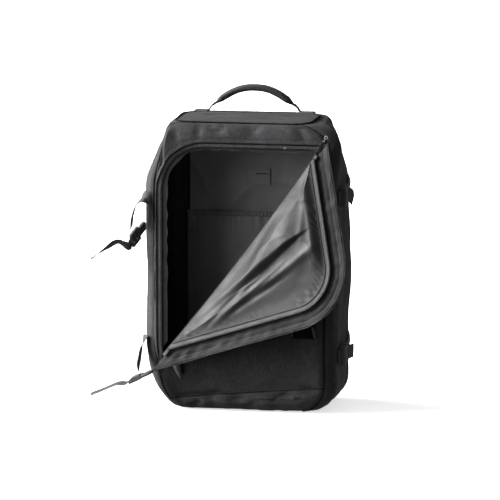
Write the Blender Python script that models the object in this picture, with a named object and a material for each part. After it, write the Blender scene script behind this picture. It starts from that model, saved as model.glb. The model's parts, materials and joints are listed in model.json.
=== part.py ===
"""A cabin-size travel backpack, standing on its base with its front door unzipped and folded open.

Metres, +Z up. The origin is on the floor under the middle of the base, the front faces -Y and
+X is on the right of someone looking at the front.
"""
import math

import bmesh
import bpy
from mathutils import Matrix, Vector

# Driving dimensions of the bag
BODY_WIDTH = 0.345
BODY_DEPTH = 0.200
BODY_HEIGHT = 0.515
CORNER_RADIUS = 0.036          # upright edges, seen from above
SHOULDER_RADIUS = 0.050        # top corners, seen from the front
TOP_EDGE_RADIUS = 0.025        # top edges, seen from the side
FOOT_RADIUS = 0.040            # bottom corners, seen from the front
FOOT_EDGE_RADIUS = 0.028       # bottom edges, seen from the side
SEAM_INSET = 0.019             # from the widest point to the front and back seams

# Sheet thicknesses and clearances
GAP = 0.0003
SHELL = 0.003
LINING = 0.001
WEB_WIDTH = 0.025
WEB_THICK = 0.0015

# The door: its zip runs up the left side, round one big corner and along the top
COIL_LEFT_X = -0.137
COIL_TOP_Z = 0.471
COIL_RADIUS = 0.075
FOLD_RIGHT_X = 0.140           # where the zip ends at the top
FOLD_LEFT_Z = 0.103            # where the zip ends at the left
COIL_WIDTH = 0.0026
TAPE_WIDTH = 0.0100
RIM_WIDTH = 0.027              # storm flap beyond the coil
FOLD_CLEARANCE = 0.010
COIL_CLEARANCE = 0.020         # the bag's coil starts this far from the fold
FOLD_AXIS_Y = -0.1065
DOOR_OPEN_ANGLE = math.radians(153)

# Top handle
HANDLE_Y = 0.068
HANDLE_HALF_SPAN = 0.080
HANDLE_RISE = 0.041
HANDLE_AXIS_Z = BODY_HEIGHT + 0.0055
HANDLE_THICK = 0.009

# Side-release buckles for 25 mm webbing, and their heights
BUCKLE_WIDTH = 0.033
BUCKLE_THICK = 0.010
FEMALE_LENGTH = 0.034
MALE_LENGTH = 0.024
TONGUE_LENGTH = 0.021
TONGUE_WIDTH = 0.020
TONGUE_THICK = 0.0044
UPPER_STRAP_Z = 0.382
LOWER_STRAP_Z = 0.098
BUCKLE_Y = -0.012              # where the two halves meet on the right
LEFT_FEMALE_Y = 0.010          # mouth of the empty housings on the left
NOTCH_DEPTH = 0.003
SLOT_LENGTH = 0.004
SLOT_HALF = WEB_WIDTH / 2 + 0.0005

# Shoulder harness
HARNESS_TOP_Z = 0.455
HARNESS_X = 0.062
PAD_WIDTH = 0.062
PAD_THICK = 0.012
HARNESS_STAND = 0.0133         # from the back to the middle of a shoulder strap at its top

# Zip, door and small parts
SEAM_GAP = 0.0011
FOLD_HEM = 0.005               # the front panel stops this far short of the fold
STEP_ROOM = 0.002
COIL_SPLIT = 0.0006
COIL_THICK = 0.0016
DOOR_SHELL = 0.0025
RIM_OVERLAP = 0.008
RIM_THICK = 0.0025
SLIDER_SIZE = (0.0050, 0.0030, 0.014)
SLIDER_THICK = 0.0040
SLIDER_DROP = 0.007
PULL_SIZE = (0.0035, 0.028)
PULL_START = 0.003
PULL_THICK = 0.0022
TOP_PULL_ANGLE = math.radians(-150)
TOP_PULL_LEAN = math.radians(4)
SLEEVE_START = 0.03            # as a part of the handle's arc
NECK = 0.4                     # the sleeve's width at its gathered ends, as a part of the webbing's
NECK_END = 0.12
FOOT_LENGTH = 0.026
REAR_RISE = 0.020
TAIL_START = (0.004, 0.010)    # how far past the male half a hanging tail starts and bends
HANG_SEAM = (-0.1608, -0.0953)  # X and Y of the seam that the undone straps hang from
LOWER_SWING = (-0.1763, -0.0707)   # X and Y of the line that the lower undone strap swings about

# Back and inside
PANEL_EDGE = 0.0012
LINING_EDGE = 0.0026
BACK_HALF_WIDTH = 0.120
BACK_LOW_Z = 0.045
BACK_HIGH_Z = 0.462
FRAME_SHEET = 0.0015
LINING_BACK_Y = 0.0865
POCKET_HALF_WIDTH = 0.125
POCKET_LOW_Z = 0.080
POCKET_HIGH_Z = 0.325
POCKET_SWELL = 0.010
HEM_HEIGHT = 0.008
HEM_THICK = 0.0025
PATCH_X, PATCH_Z = 0.117, 0.148
PATCH_SIZE = (0.040, 0.024)
PATCH_THICK = 0.0015
TAB_X, TAB_Z = -0.108, 0.078
TAB_RISE = 0.013
TAB_STAND = 0.009
TAB_WIDTH = 0.012

BLACK_FABRIC = ("black_fabric", (0.035, 0.036, 0.038), 0.85, 0.0)
GREY_LINING = ("grey_lining", (0.10, 0.10, 0.105), 0.55, 0.0)
BLACK_WEBBING = ("black_webbing", (0.03, 0.03, 0.031), 0.75, 0.0)
BLACK_PLASTIC = ("black_plastic", (0.045, 0.045, 0.047), 0.45, 0.0)
ZIP_PLASTIC = ("zip_plastic", (0.012, 0.012, 0.013), 0.4, 0.0)
PULL_RUBBER = ("pull_rubber", (0.05, 0.05, 0.052), 0.5, 0.0)
PLAIN_FOAM = ("plain_foam", (0.30, 0.30, 0.31), 0.95, 0.0)
FRAME_PLASTIC = ("frame_plastic", (0.55, 0.56, 0.56), 0.5, 0.0)
BACK_MESH = ("back_mesh", (0.05, 0.05, 0.053), 0.9, 0.0)


# ---------------------------------------------------------------- helpers

def clear_scene():
    for thing in list(bpy.data.objects):
        bpy.data.objects.remove(thing, do_unlink=True)


def material(spec):
    name, colour, roughness, metallic = spec
    found = bpy.data.materials.get(name)
    if found:
        return found
    made = bpy.data.materials.new(name)
    made.use_nodes = True
    shader = made.node_tree.nodes["Principled BSDF"]
    shader.inputs["Base Color"].default_value = (*colour, 1.0)
    shader.inputs["Roughness"].default_value = roughness
    shader.inputs["Metallic"].default_value = metallic
    return made


def add_object(name, bm, spec, smooth=False):
    bm.normal_update()
    bmesh.ops.recalc_face_normals(bm, faces=bm.faces)
    mesh = bpy.data.meshes.new(name)
    bm.to_mesh(mesh)
    bm.free()
    mesh.materials.append(material(spec))
    if smooth:
        mesh.shade_smooth()
        mesh.set_sharp_from_angle(angle=math.radians(40))
    thing = bpy.data.objects.new(name, mesh)
    bpy.context.collection.objects.link(thing)
    return thing


def sheet(name, outer, inner, spec, smooth=True):
    """A closed sheet between two equal grids of points, each a list of rows."""
    bm = bmesh.new()
    rows, cols = len(outer), len(outer[0])
    layers = []
    for grid in (outer, inner):
        layers.append([[bm.verts.new(p) for p in row] for row in grid])
    for layer in layers:
        for i in range(rows - 1):
            for j in range(cols - 1):
                bm.faces.new((layer[i][j], layer[i][j + 1], layer[i + 1][j + 1], layer[i + 1][j]))
    edge = [(0, j) for j in range(cols)]
    edge += [(i, cols - 1) for i in range(1, rows)]
    edge += [(rows - 1, j) for j in range(cols - 2, -1, -1)]
    edge += [(i, 0) for i in range(rows - 2, 0, -1)]
    for (i0, j0), (i1, j1) in zip(edge, edge[1:] + edge[:1]):
        a, b = layers[0][i0][j0], layers[0][i1][j1]
        c, d = layers[1][i1][j1], layers[1][i0][j0]
        bm.faces.new((a, b, c, d))
    return add_object(name, bm, spec, smooth)


def prism(name, outline, low, high, spec, place=None, bevel=0.0):
    """An outline of (a, b) points drawn out along Y: a is X and b is Z, then moved by place."""
    bm = bmesh.new()
    rings = []
    for depth in (low, high):
        rings.append([bm.verts.new((a, depth, b)) for a, b in outline])
    count = len(outline)
    for ring in rings:
        bm.faces.new(ring)
    for i in range(count):
        j = (i + 1) % count
        bm.faces.new((rings[0][i], rings[0][j], rings[1][j], rings[1][i]))
    bmesh.ops.recalc_face_normals(bm, faces=bm.faces)
    if bevel:
        bmesh.ops.bevel(bm, geom=list(bm.edges), offset=bevel, segments=1, affect="EDGES")
    if place:
        bm.transform(place)
    return add_object(name, bm, spec)


def block(name, low, high, spec, place=None, bevel=0.0):
    outline = [(low[0], low[2]), (high[0], low[2]), (high[0], high[2]), (low[0], high[2])]
    return prism(name, outline, low[1], high[1], spec, place, bevel)


def cut(thing, cutters):
    """Take the closed cutters out of a solid."""
    for i, cutter in enumerate(cutters):
        cutter.hide_render = True
        cutter.display_type = "WIRE"
        cutter.name = f"{thing.name}_cutter_{i}"
        tool = thing.modifiers.new(f"cut_{i}", "BOOLEAN")
        tool.operation = "DIFFERENCE"
        tool.solver = "EXACT"
        tool.object = cutter


def smooth_route(points, steps):
    """A Catmull-Rom curve through the points, with a number of steps in each stretch."""
    points = [Vector(p) for p in points]
    padded = [2 * points[0] - points[1]] + points + [2 * points[-1] - points[-2]]
    route = []
    for i in range(1, len(padded) - 2):
        p0, p1, p2, p3 = padded[i - 1:i + 3]
        for k in range(steps):
            t = k / steps
            route.append(0.5 * (2 * p1 + (p2 - p0) * t + (2 * p0 - 5 * p1 + 4 * p2 - p3) * t ** 2
                                + (3 * p1 - p0 - 3 * p2 + p3) * t ** 3))
    return route + [points[-1]]


def webbing(name, points, across, spec=BLACK_WEBBING, width=WEB_WIDTH, thick=WEB_THICK, steps=4):
    """A flat strap along a smooth route; across is its width direction at its two ends."""
    route = smooth_route(points, steps)
    start, end = Vector(across[0]), Vector(across[-1])
    outer, inner = [], []
    last = len(route) - 1
    for i, point in enumerate(route):
        ahead = (route[min(i + 1, last)] - route[max(i - 1, 0)]).normalized()
        side = start.lerp(end, i / last)
        side = (side - side.dot(ahead) * ahead).normalized()
        up = ahead.cross(side) * thick / 2
        half = side * width / 2
        outer.append([point - half + up, point + half + up])
        inner.append([point - half - up, point + half - up])
    return sheet(name, outer, inner, spec)


# ---------------------------------------------------------------- the bag's surface

def edge_drop(z, inset):
    """How far the corner arcs have come in at a height, as parts of their radius: (foot, top)."""
    foot = max(0.0, (FOOT_RADIUS - z) / (FOOT_RADIUS - inset))
    top = max(0.0, (z - BODY_HEIGHT + SHOULDER_RADIUS) / (SHOULDER_RADIUS - inset))
    return tuple(1 - math.sqrt(1 - min(part, 1.0) ** 2) for part in (foot, top))


def half_sizes(z, inset=0.0):
    """Half the width and half the depth of the bag at a height, inset from its outer skin."""
    foot, top = edge_drop(z, inset)
    half_width = BODY_WIDTH / 2 - inset
    half_width -= (FOOT_RADIUS - inset) * foot + (SHOULDER_RADIUS - inset) * top
    half_depth = BODY_DEPTH / 2 - inset
    half_depth -= (FOOT_EDGE_RADIUS - inset) * foot + (TOP_EDGE_RADIUS - inset) * top
    return half_width, half_depth


def seam_x(z):
    return half_sizes(z)[0] - SEAM_INSET


def face_y(x, z, inset=0.0):
    """Distance of the front or back skin from the middle plane."""
    half_width, half_depth = half_sizes(z, inset)
    radius = CORNER_RADIUS - inset
    past = abs(x) - (half_width - radius)
    if past <= 0:
        return half_depth
    return half_depth - radius + math.sqrt(max(radius ** 2 - past ** 2, 0.0))


def heights(low, high, middle=4, arc=5):
    """Heights on the outer skin for rows of points, close together where it curves."""
    shoulder = BODY_HEIGHT - SHOULDER_RADIUS
    rows = [FOOT_RADIUS * (1 - math.cos(math.pi / 2 * i / arc)) for i in range(arc + 1)]
    rows += [FOOT_RADIUS + (shoulder - FOOT_RADIUS) * (i + 1) / (middle + 1) for i in range(middle)]
    rows += [shoulder + SHOULDER_RADIUS * math.sin(math.pi / 2 * i / arc) for i in range(arc + 1)]
    inside = [z for z in rows if low + STEP_ROOM < z < high - STEP_ROOM]
    return [low] + inside + [high]


def inset_height(z, inset):
    """The height on the inset skin that lies under a height on the outer skin."""
    shoulder = BODY_HEIGHT - SHOULDER_RADIUS
    if z < FOOT_RADIUS:
        return FOOT_RADIUS - (FOOT_RADIUS - z) * (FOOT_RADIUS - inset) / FOOT_RADIUS
    if z > shoulder:
        return shoulder + (z - shoulder) * (SHOULDER_RADIUS - inset) / SHOULDER_RADIUS
    return z


def side_row(outer_z, inset, sign, arc=5):
    """Points round one side at a height, from its front seam to its back seam."""
    z = inset_height(outer_z, inset)
    half_width, half_depth = half_sizes(z, inset)
    radius = CORNER_RADIUS - inset
    start = seam_x(outer_z) + GAP / 2
    past = max(0.0, start - (half_width - radius))
    first = math.asin(min(1.0, past / radius))
    front = []
    for i in range(arc + 1):
        turn = first + (math.pi / 2 - first) * i / arc
        x = half_width - radius + radius * math.sin(turn)
        y = half_depth - radius + radius * math.cos(turn)
        front.append((x, y))
    if past <= 0:
        front.insert(0, (start, half_depth))
    else:
        front.insert(0, (start - 1e-5, front[0][1]))
    row = [(sign * x, -y, z) for x, y in front]
    row += [(sign * half_width, 0.0, z)]
    row += [(sign * x, y, z) for x, y in reversed(front)]
    return row


def side_sheet(name, sign, outset, thick, spec):
    """One side of the bag, from the base to the top panel, between two insets of the skin."""
    outer, inner = ([side_row(z, inset, sign) for z in heights(0.0, BODY_HEIGHT)]
                    for inset in (outset, outset + thick))
    return sheet(name, outer, inner, spec)


def face_sheet(name, sign, rows, limits, thick, spec, columns=10, inset=0.0):
    """A sheet on the front (sign -1) or back (+1) skin; limits gives its two edges at a height."""
    grids = []
    for depth in (inset, inset + thick):
        grid = []
        for z in rows:
            left, right = limits(z)
            z_in = inset_height(z, depth)
            row = []
            for i in range(columns + 1):
                part = 0.5 - 0.5 * math.cos(math.pi * i / columns)
                x = left + (right - left) * part
                row.append((x, sign * face_y(x, z_in, depth), z_in))
            grid.append(row)
        grids.append(grid)
    return sheet(name, grids[0], grids[1], spec)


def section_outline(z, shrink, arc=5):
    """The outline of the bag at a height, seen from above, made smaller by shrink."""
    half_width, half_depth = half_sizes(z)
    radius = CORNER_RADIUS - shrink
    mid_x = half_width - CORNER_RADIUS
    mid_y = half_depth - CORNER_RADIUS
    outline = []
    for corner, (sx, sy) in enumerate(((1, 1), (-1, 1), (-1, -1), (1, -1))):
        for i in range(arc + 1):
            turn = math.pi / 2 * (corner + i / arc)
            outline.append((sx * mid_x + radius * math.cos(turn), sy * mid_y + radius * math.sin(turn)))
    return outline


def level_slab(name, outline, low, high, spec):
    """A flat panel with an outline in X and Y between two heights."""
    turn = Matrix(((1, 0, 0, 0), (0, 0, 1, 0), (0, 1, 0, 0), (0, 0, 0, 1)))
    return prism(name, outline, low, high, spec, turn)


# ---------------------------------------------------------------- the door's outline

FOLD_RIGHT = Vector((FOLD_RIGHT_X, COIL_TOP_Z))
FOLD_LEFT = Vector((COIL_LEFT_X, FOLD_LEFT_Z))
FOLD_ALONG = (FOLD_LEFT - FOLD_RIGHT).normalized()
FOLD_NORMAL = Vector((FOLD_ALONG.y, -FOLD_ALONG.x))     # points up and left, into the opening


def fold_x(z, clearance=0.0):
    """Where a line beside the fold stands at a height; clearance is towards the opening."""
    return FOLD_RIGHT.x - (FOLD_NORMAL.y * (z - FOLD_RIGHT.y) - clearance) / FOLD_NORMAL.x


def fold_z(x, clearance=0.0):
    return FOLD_RIGHT.y - (FOLD_NORMAL.x * (x - FOLD_RIGHT.x) - clearance) / FOLD_NORMAL.y


def zip_curve(offset, clearance, arc=10, straight=3):
    """The zip's line moved outwards by offset, from its left end to its end at the top."""
    left = COIL_LEFT_X - offset
    top = COIL_TOP_Z + offset
    radius = COIL_RADIUS + offset
    centre = (left + radius, top - radius)
    start = Vector((left, fold_z(left, clearance)))
    end = Vector((fold_x(top, clearance), top))
    bend_in = Vector((left, centre[1]))
    bend_out = Vector((centre[0], top))
    points = [start.lerp(bend_in, i / straight) for i in range(straight)]
    for i in range(arc + 1):
        turn = math.pi - math.pi / 2 * i / arc
        points.append(Vector((centre[0] + radius * math.cos(turn), centre[1] + radius * math.sin(turn))))
    points += [bend_out.lerp(end, (i + 1) / straight) for i in range(straight)]
    return points


def door_hinge_frame():
    """The turn that carries a piece of the closed door to where it lies open."""
    axis = Vector((FOLD_ALONG.x, 0, FOLD_ALONG.y))
    foot = Vector((FOLD_RIGHT.x, FOLD_AXIS_Y, FOLD_RIGHT.y))
    turn = Matrix.Rotation(-DOOR_OPEN_ANGLE, 4, axis)
    return Matrix.Translation(foot) @ turn @ Matrix.Translation(-foot)


def zip_strip(name, inner_offset, outer_offset, near, far, clearance, spec, place=None):
    """A flat strip that follows the zip between two offsets and two distances in front."""
    curves = [zip_curve(offset, clearance) for offset in (inner_offset, outer_offset)]
    grids = []
    for y in (near, far):
        grids.append([[(p.x, y, p.y) for p in pair] for pair in zip(*curves)])
    made = sheet(name, grids[0], grids[1], spec)
    if place:
        made.data.transform(place)
    return made


# ---------------------------------------------------------------- sewn body

def make_body_panels():
    for side, sign in (("left", -1), ("right", 1)):
        side_sheet(f"side_panel_{side}", sign, 0.0, SHELL, BLACK_FABRIC)
    level_slab("top_panel", section_outline(BODY_HEIGHT, PANEL_EDGE), BODY_HEIGHT - SHELL, BODY_HEIGHT,
               BLACK_FABRIC)
    level_slab("bottom_panel", section_outline(0.0, PANEL_EDGE), 0.0, SHELL, BLACK_FABRIC)

    def between_seams(z):
        edge = seam_x(z) - SEAM_GAP
        return -edge, edge

    face_sheet("back_panel", 1, heights(0.0, BODY_HEIGHT), between_seams, SHELL, BLACK_FABRIC)

    border_end = fold_z(COIL_LEFT_X - TAPE_WIDTH - PANEL_EDGE) - PANEL_EDGE

    def below_fold(z):
        if z <= border_end:
            return between_seams(z)
        return fold_x(z, -FOLD_HEM), seam_x(z) - SEAM_GAP

    rows = [z for z in heights(0.0, COIL_TOP_Z) if abs(z - border_end) > STEP_ROOM]
    rows = sorted(rows + [border_end, border_end + GAP])
    face_sheet("front_panel", -1, rows, below_fold, SHELL, BLACK_FABRIC)


def seam_reach(start, direction):
    """The point where a ray over the front skin meets the seam round the front."""
    low, high = 0.0, BODY_WIDTH
    for _ in range(40):
        middle = (low + high) / 2
        x, z = start.x + direction.x * middle, start.y + direction.y * middle
        inside = z < BODY_HEIGHT - PANEL_EDGE and abs(x) < seam_x(z) - PANEL_EDGE
        low, high = (middle, high) if inside else (low, middle)
    return start + direction * low


def make_front_border():
    """The strip of the front between the zip tape and the piped seam, on the left and the top."""
    edge = zip_curve(TAPE_WIDTH + PANEL_EDGE, 0.0, straight=12)
    corner = Vector((COIL_LEFT_X + COIL_RADIUS, COIL_TOP_Z - COIL_RADIUS))
    grids = ([], [])
    for point in edge:
        direction = Vector((min(point.x - corner.x, 0.0), max(point.y - corner.y, 0.0))).normalized()
        reach = seam_reach(point, direction)
        for grid, depth in zip(grids, (0.0, SHELL)):
            row = []
            for part in (0.0, 0.5, 1.0):
                spot = point.lerp(reach, part)
                z = inset_height(spot.y, depth)
                row.append((spot.x, -face_y(spot.x, z, depth), z))
            grid.append(row)
    sheet("front_border", grids[0], grids[1], BLACK_FABRIC)


def make_lining():
    """Thin lining inside the sides, the top, the base and the back."""
    inset = SHELL + GAP
    for side, sign in (("left", -1), ("right", 1)):
        side_sheet(f"lining_{side}", sign, inset, LINING, GREY_LINING)
    top = BODY_HEIGHT - inset
    level_slab("lining_top", section_outline(BODY_HEIGHT, LINING_EDGE), top - LINING, top,
               GREY_LINING)
    level_slab("lining_bottom", section_outline(0.0, LINING_EDGE), inset, inset + LINING,
               GREY_LINING)
    block("lining_back", (-BACK_HALF_WIDTH, LINING_BACK_Y, BACK_LOW_Z),
          (BACK_HALF_WIDTH, LINING_BACK_Y + LINING, BACK_HIGH_Z), GREY_LINING)


def make_back_layers():
    """The foam and the plastic frame sheet that stiffen the back, between panel and lining."""
    sheet_y = BODY_DEPTH / 2 - SHELL - 2 * GAP - FRAME_SHEET
    block("frame_sheet", (-BACK_HALF_WIDTH, sheet_y, BACK_LOW_Z),
          (BACK_HALF_WIDTH, sheet_y + FRAME_SHEET, BACK_HIGH_Z), FRAME_PLASTIC)
    foam_y = LINING_BACK_Y + LINING + GAP
    block("back_foam", (-BACK_HALF_WIDTH, foam_y, BACK_LOW_Z),
          (BACK_HALF_WIDTH, sheet_y - GAP, BACK_HIGH_Z), PLAIN_FOAM)


def make_inner_pocket():
    """A loose pocket on the back lining, sewn at its sides and foot, with an elastic hem."""
    def pocket_y(part_x, part_z, depth):
        swell = (1 - abs(2 * part_x - 1) ** 4) * min(1.0, 4 * part_z)
        return LINING_BACK_Y - GAP - depth - POCKET_SWELL * swell

    grids = ([], [])
    for i in range(7):
        for grid, depth in zip(grids, (LINING, 0.0)):
            row = []
            for j in range(13):
                x = POCKET_HALF_WIDTH * (j / 6 - 1)
                z = POCKET_LOW_Z + (POCKET_HIGH_Z - POCKET_LOW_Z) * i / 6
                row.append((x, pocket_y(j / 12, i / 6, depth), z))
            grid.append(row)
    sheet("inner_pocket", grids[0], grids[1], GREY_LINING)

    grids = ([], [])
    for z in (POCKET_HIGH_Z + GAP, POCKET_HIGH_Z + HEM_HEIGHT):
        for grid, depth in zip(grids, (HEM_THICK, 0.0)):
            grid.append([(POCKET_HALF_WIDTH * (j / 6 - 1), pocket_y(j / 12, 1.0, depth), z)
                         for j in range(13)])
    sheet("pocket_elastic_hem", grids[0], grids[1], GREY_LINING)


def make_front_details():
    """A blank sewn patch on the lower front and a webbing tab beside the end of the zip."""
    front = -BODY_DEPTH / 2 - GAP
    block("front_patch", (PATCH_X - PATCH_SIZE[0] / 2, front - PATCH_THICK, PATCH_Z - PATCH_SIZE[1] / 2),
          (PATCH_X + PATCH_SIZE[0] / 2, front, PATCH_Z + PATCH_SIZE[1] / 2), BLACK_WEBBING)
    loop = [(TAB_X, front - WEB_THICK, TAB_Z + TAB_RISE), (TAB_X, front - TAB_STAND, TAB_Z),
            (TAB_X, front - WEB_THICK, TAB_Z - TAB_RISE)]
    webbing("lash_tab", loop, [(1, 0, 0)], width=TAB_WIDTH)


# ---------------------------------------------------------------- zip and door

def make_zip_on_bag():
    tape_y = -BODY_DEPTH / 2 + SHELL + GAP
    zip_strip("zip_tape_bag", COIL_SPLIT, TAPE_WIDTH, tape_y, tape_y + LINING, 0.0, BLACK_WEBBING)
    coil_y = tape_y - GAP
    zip_strip("zip_coil_bag", COIL_SPLIT, COIL_SPLIT + COIL_WIDTH, coil_y - COIL_THICK, coil_y,
              COIL_CLEARANCE, ZIP_PLASTIC)


def make_door_flap():
    """The folded half of the door, built closed and then swung open about the fold."""
    place = door_hinge_frame()
    front = -BODY_DEPTH / 2
    shell_back = front + DOOR_SHELL
    outline = [tuple(p) for p in zip_curve(-GAP, FOLD_CLEARANCE)]
    prism("door_shell", outline, front, shell_back, BLACK_FABRIC, place)
    inner = shell_back + GAP
    outline = [tuple(p) for p in zip_curve(-TAPE_WIDTH - GAP, FOLD_CLEARANCE)]
    prism("door_lining", outline, inner, inner + LINING, GREY_LINING, place)
    zip_strip("door_zip_tape", -TAPE_WIDTH, -GAP, inner, inner + LINING, FOLD_CLEARANCE,
              BLACK_WEBBING, place)
    coil = inner + LINING + GAP
    zip_strip("door_zip_coil", -GAP - COIL_WIDTH, -GAP, coil, coil + COIL_THICK, FOLD_CLEARANCE,
              ZIP_PLASTIC, place)
    rim = front - GAP
    zip_strip("door_rim", -RIM_OVERLAP, RIM_WIDTH, rim - RIM_THICK, rim, FOLD_CLEARANCE,
              BLACK_FABRIC, place)


def make_slider(name, centre, angle):
    """A zip slider on the front, its narrow end turned by angle from straight down."""
    half, neck, length = SLIDER_SIZE
    outline = [(-half, length / 2), (half, length / 2), (half, 0.0), (neck, -length / 2),
               (-neck, -length / 2), (-half, 0.0)]
    front = -BODY_DEPTH / 2 - GAP
    place = Matrix.Translation((centre[0], 0, centre[1])) @ Matrix.Rotation(angle, 4, "Y")
    prism(name, outline, front - SLIDER_THICK, front, ZIP_PLASTIC, place, bevel=0.0006)


def make_pull(name, hinge, angle, lean):
    """A rubber zip pull that hangs from its hinge; angle turns it in the front's plane."""
    half, length = PULL_SIZE
    outline = [(-half, -PULL_START), (half, -PULL_START), (half, half - length), (0, -length),
               (-half, half - length)]
    place = Matrix.Translation(hinge) @ Matrix.Rotation(angle, 4, "Y") @ Matrix.Rotation(lean, 4, "X")
    prism(name, outline, -PULL_THICK / 2, PULL_THICK / 2, PULL_RUBBER, place, bevel=0.0005)


SIDE_SLIDER_AT = (COIL_LEFT_X, FOLD_LEFT_Z - SLIDER_DROP)
TOP_SLIDER_AT = (FOLD_RIGHT_X + SLIDER_DROP / 2, COIL_TOP_Z)
PULL_HINGE_Y = -BODY_DEPTH / 2 - GAP - SLIDER_THICK - GAP - PULL_THICK


def make_sliders():
    """One slider waits at each end of the zip, with the door open between them."""
    make_slider("slider_side", SIDE_SLIDER_AT, 0.0)
    make_pull("pull_side", (SIDE_SLIDER_AT[0], PULL_HINGE_Y, SIDE_SLIDER_AT[1]), 0.0, 0.0)
    make_slider("slider_top", TOP_SLIDER_AT, math.radians(-90))
    make_pull("pull_top", (TOP_SLIDER_AT[0], PULL_HINGE_Y, TOP_SLIDER_AT[1]), TOP_PULL_ANGLE,
              TOP_PULL_LEAN)


# ---------------------------------------------------------------- top handle

def arch_point(part, lift=0.0):
    """A point on the handle's arc, from its left foot (0) to its right foot (1)."""
    radius = (HANDLE_HALF_SPAN ** 2 + HANDLE_RISE ** 2) / (2 * HANDLE_RISE)
    half_angle = math.asin(HANDLE_HALF_SPAN / radius)
    turn = half_angle * (2 * part - 1)
    z = HANDLE_AXIS_Z + HANDLE_RISE - radius + (radius + lift) * math.cos(turn)
    return Vector(((radius + lift) * math.sin(turn), HANDLE_Y, z))


def make_top_handle():
    grids = ([], [])
    rim = HANDLE_THICK / 2
    for i in range(13):
        part = SLEEVE_START + (1 - 2 * SLEEVE_START) * i / 12
        for grid, lift in zip(grids, (rim, -rim)):
            row = []
            half_width = WEB_WIDTH / 2 * min(1.0, NECK + min(part, 1 - part) / NECK_END * (1 - NECK))
            for across in (-1, -0.6, 0.6, 1):
                bulge = lift if abs(across) < 1 else lift * 0.4
                point = arch_point(part, bulge)
                row.append(point + Vector((0, across * half_width, 0)))
            grid.append(row)
    sheet("handle_sleeve", grids[0], grids[1], BLACK_WEBBING)
    for side, sign in (("left", -1), ("right", 1)):
        foot_x = sign * (HANDLE_HALF_SPAN + FOOT_LENGTH / 2 + 0.003)
        base = BODY_HEIGHT + GAP
        block(f"handle_foot_{side}", (foot_x - FOOT_LENGTH / 2, HANDLE_Y - WEB_WIDTH / 2, base),
              (foot_x + FOOT_LENGTH / 2, HANDLE_Y + WEB_WIDTH / 2, base + 2 * WEB_THICK), BLACK_WEBBING)


# ---------------------------------------------------------------- side straps

def along_x(outline_name, outline, low, high, spec, place, bevel=0.0):
    """An outline of (y, z) points drawn out along X."""
    swap = Matrix(((0, 1, 0, 0), (1, 0, 0, 0), (0, 0, 1, 0), (0, 0, 0, 1)))
    return prism(outline_name, outline, low, high, spec, place @ swap, bevel)


def box_outline(y0, y1, half):
    return [(y0, -half), (y1, -half), (y1, half), (y0, half)]


def make_female(tag, place):
    """The housing of a side-release buckle: local X is out of the strap, +Y is its mouth."""
    half = BUCKLE_WIDTH / 2
    start = -FEMALE_LENGTH
    notch = half - NOTCH_DEPTH
    outline = [(start, -half), (-0.021, -half), (-0.019, -notch), (-0.009, -notch), (-0.006, -half),
               (0.0, -half)]
    outline += [(y, -z) for y, z in reversed(outline)]
    female = along_x(f"buckle_female_{tag}", outline, 0.0, BUCKLE_THICK, BLACK_PLASTIC, place)
    middle = BUCKLE_THICK / 2
    room = TONGUE_THICK / 2 + GAP
    mouth = along_x("mouth", box_outline(-TONGUE_LENGTH - 0.002, 0.01, TONGUE_WIDTH / 2 + GAP),
                    middle - room, middle + room, BLACK_PLASTIC, place)
    slot = along_x("slot", box_outline(start + 0.0035, start + 0.0035 + SLOT_LENGTH, SLOT_HALF),
                   -BUCKLE_THICK, 2 * BUCKLE_THICK, BLACK_PLASTIC, place)
    cut(female, [mouth, slot])


def make_male(tag, place):
    """The tongue half with its ladder: local +Y points from the tongue to the ladder."""
    half = BUCKLE_WIDTH / 2
    low, high = BUCKLE_THICK / 2 - TONGUE_THICK / 2, BUCKLE_THICK / 2 + TONGUE_THICK / 2
    tongue = TONGUE_WIDTH / 2
    outline = [(-TONGUE_LENGTH, -tongue + 0.004), (-TONGUE_LENGTH + 0.005, -tongue), (GAP, -tongue),
               (GAP, -half), (MALE_LENGTH, -half)]
    outline += [(y, -z) for y, z in reversed(outline)]
    male = along_x(f"buckle_male_{tag}", outline, low, high, BLACK_PLASTIC, place)
    slots = [along_x("slot", box_outline(y, y + SLOT_LENGTH, SLOT_HALF), -BUCKLE_THICK,
                     2 * BUCKLE_THICK, BLACK_PLASTIC, place)
             for y in (0.006, 0.015)]
    cut(male, slots)


def buckle_frame(origin, along, across):
    """A buckle's own frame from its slide direction and its width direction."""
    y_axis = Vector(along).normalized()
    z_axis = Vector(across)
    z_axis = (z_axis - z_axis.dot(y_axis) * y_axis).normalized()
    x_axis = y_axis.cross(z_axis)
    frame = Matrix((x_axis, y_axis, z_axis)).transposed().to_4x4()
    return Matrix.Translation(origin) @ frame


def make_right_straps():
    """Closed buckles on the right side, with short tails."""
    face = BODY_WIDTH / 2 + GAP + WEB_THICK / 2
    up = [(0, 0, 1)]
    for tag, z, reach in (("right_upper", UPPER_STRAP_Z, 0.006), ("right_lower", LOWER_STRAP_Z, 0.016)):
        place = buckle_frame((BODY_WIDTH / 2 + 2 * GAP, BUCKLE_Y, z), (0, 1, 0), (0, 0, 1))
        make_female(tag, place)
        make_male(tag, place)
        front = BUCKLE_Y - FEMALE_LENGTH - GAP
        webbing(f"strap_front_{tag}", [(face, front - 0.018, z), (face, front, z)], up, steps=1)
        webbing(f"strap_rear_{tag}", [(face, 0.062, z + REAR_RISE), (face, 0.048, z + REAR_RISE / 3),
                                      (face, 0.036, z)], up, steps=2)
        above = BUCKLE_THICK / 2 + TONGUE_THICK / 2 + GAP + WEB_THICK
        tail = [(above, 0.008, 0), (above + 0.001, MALE_LENGTH - 0.004, 0),
                (above + 0.004, MALE_LENGTH + reach, -0.001)]
        webbing(f"strap_tail_{tag}", [place @ Vector(p) for p in tail], up, steps=3)


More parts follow.
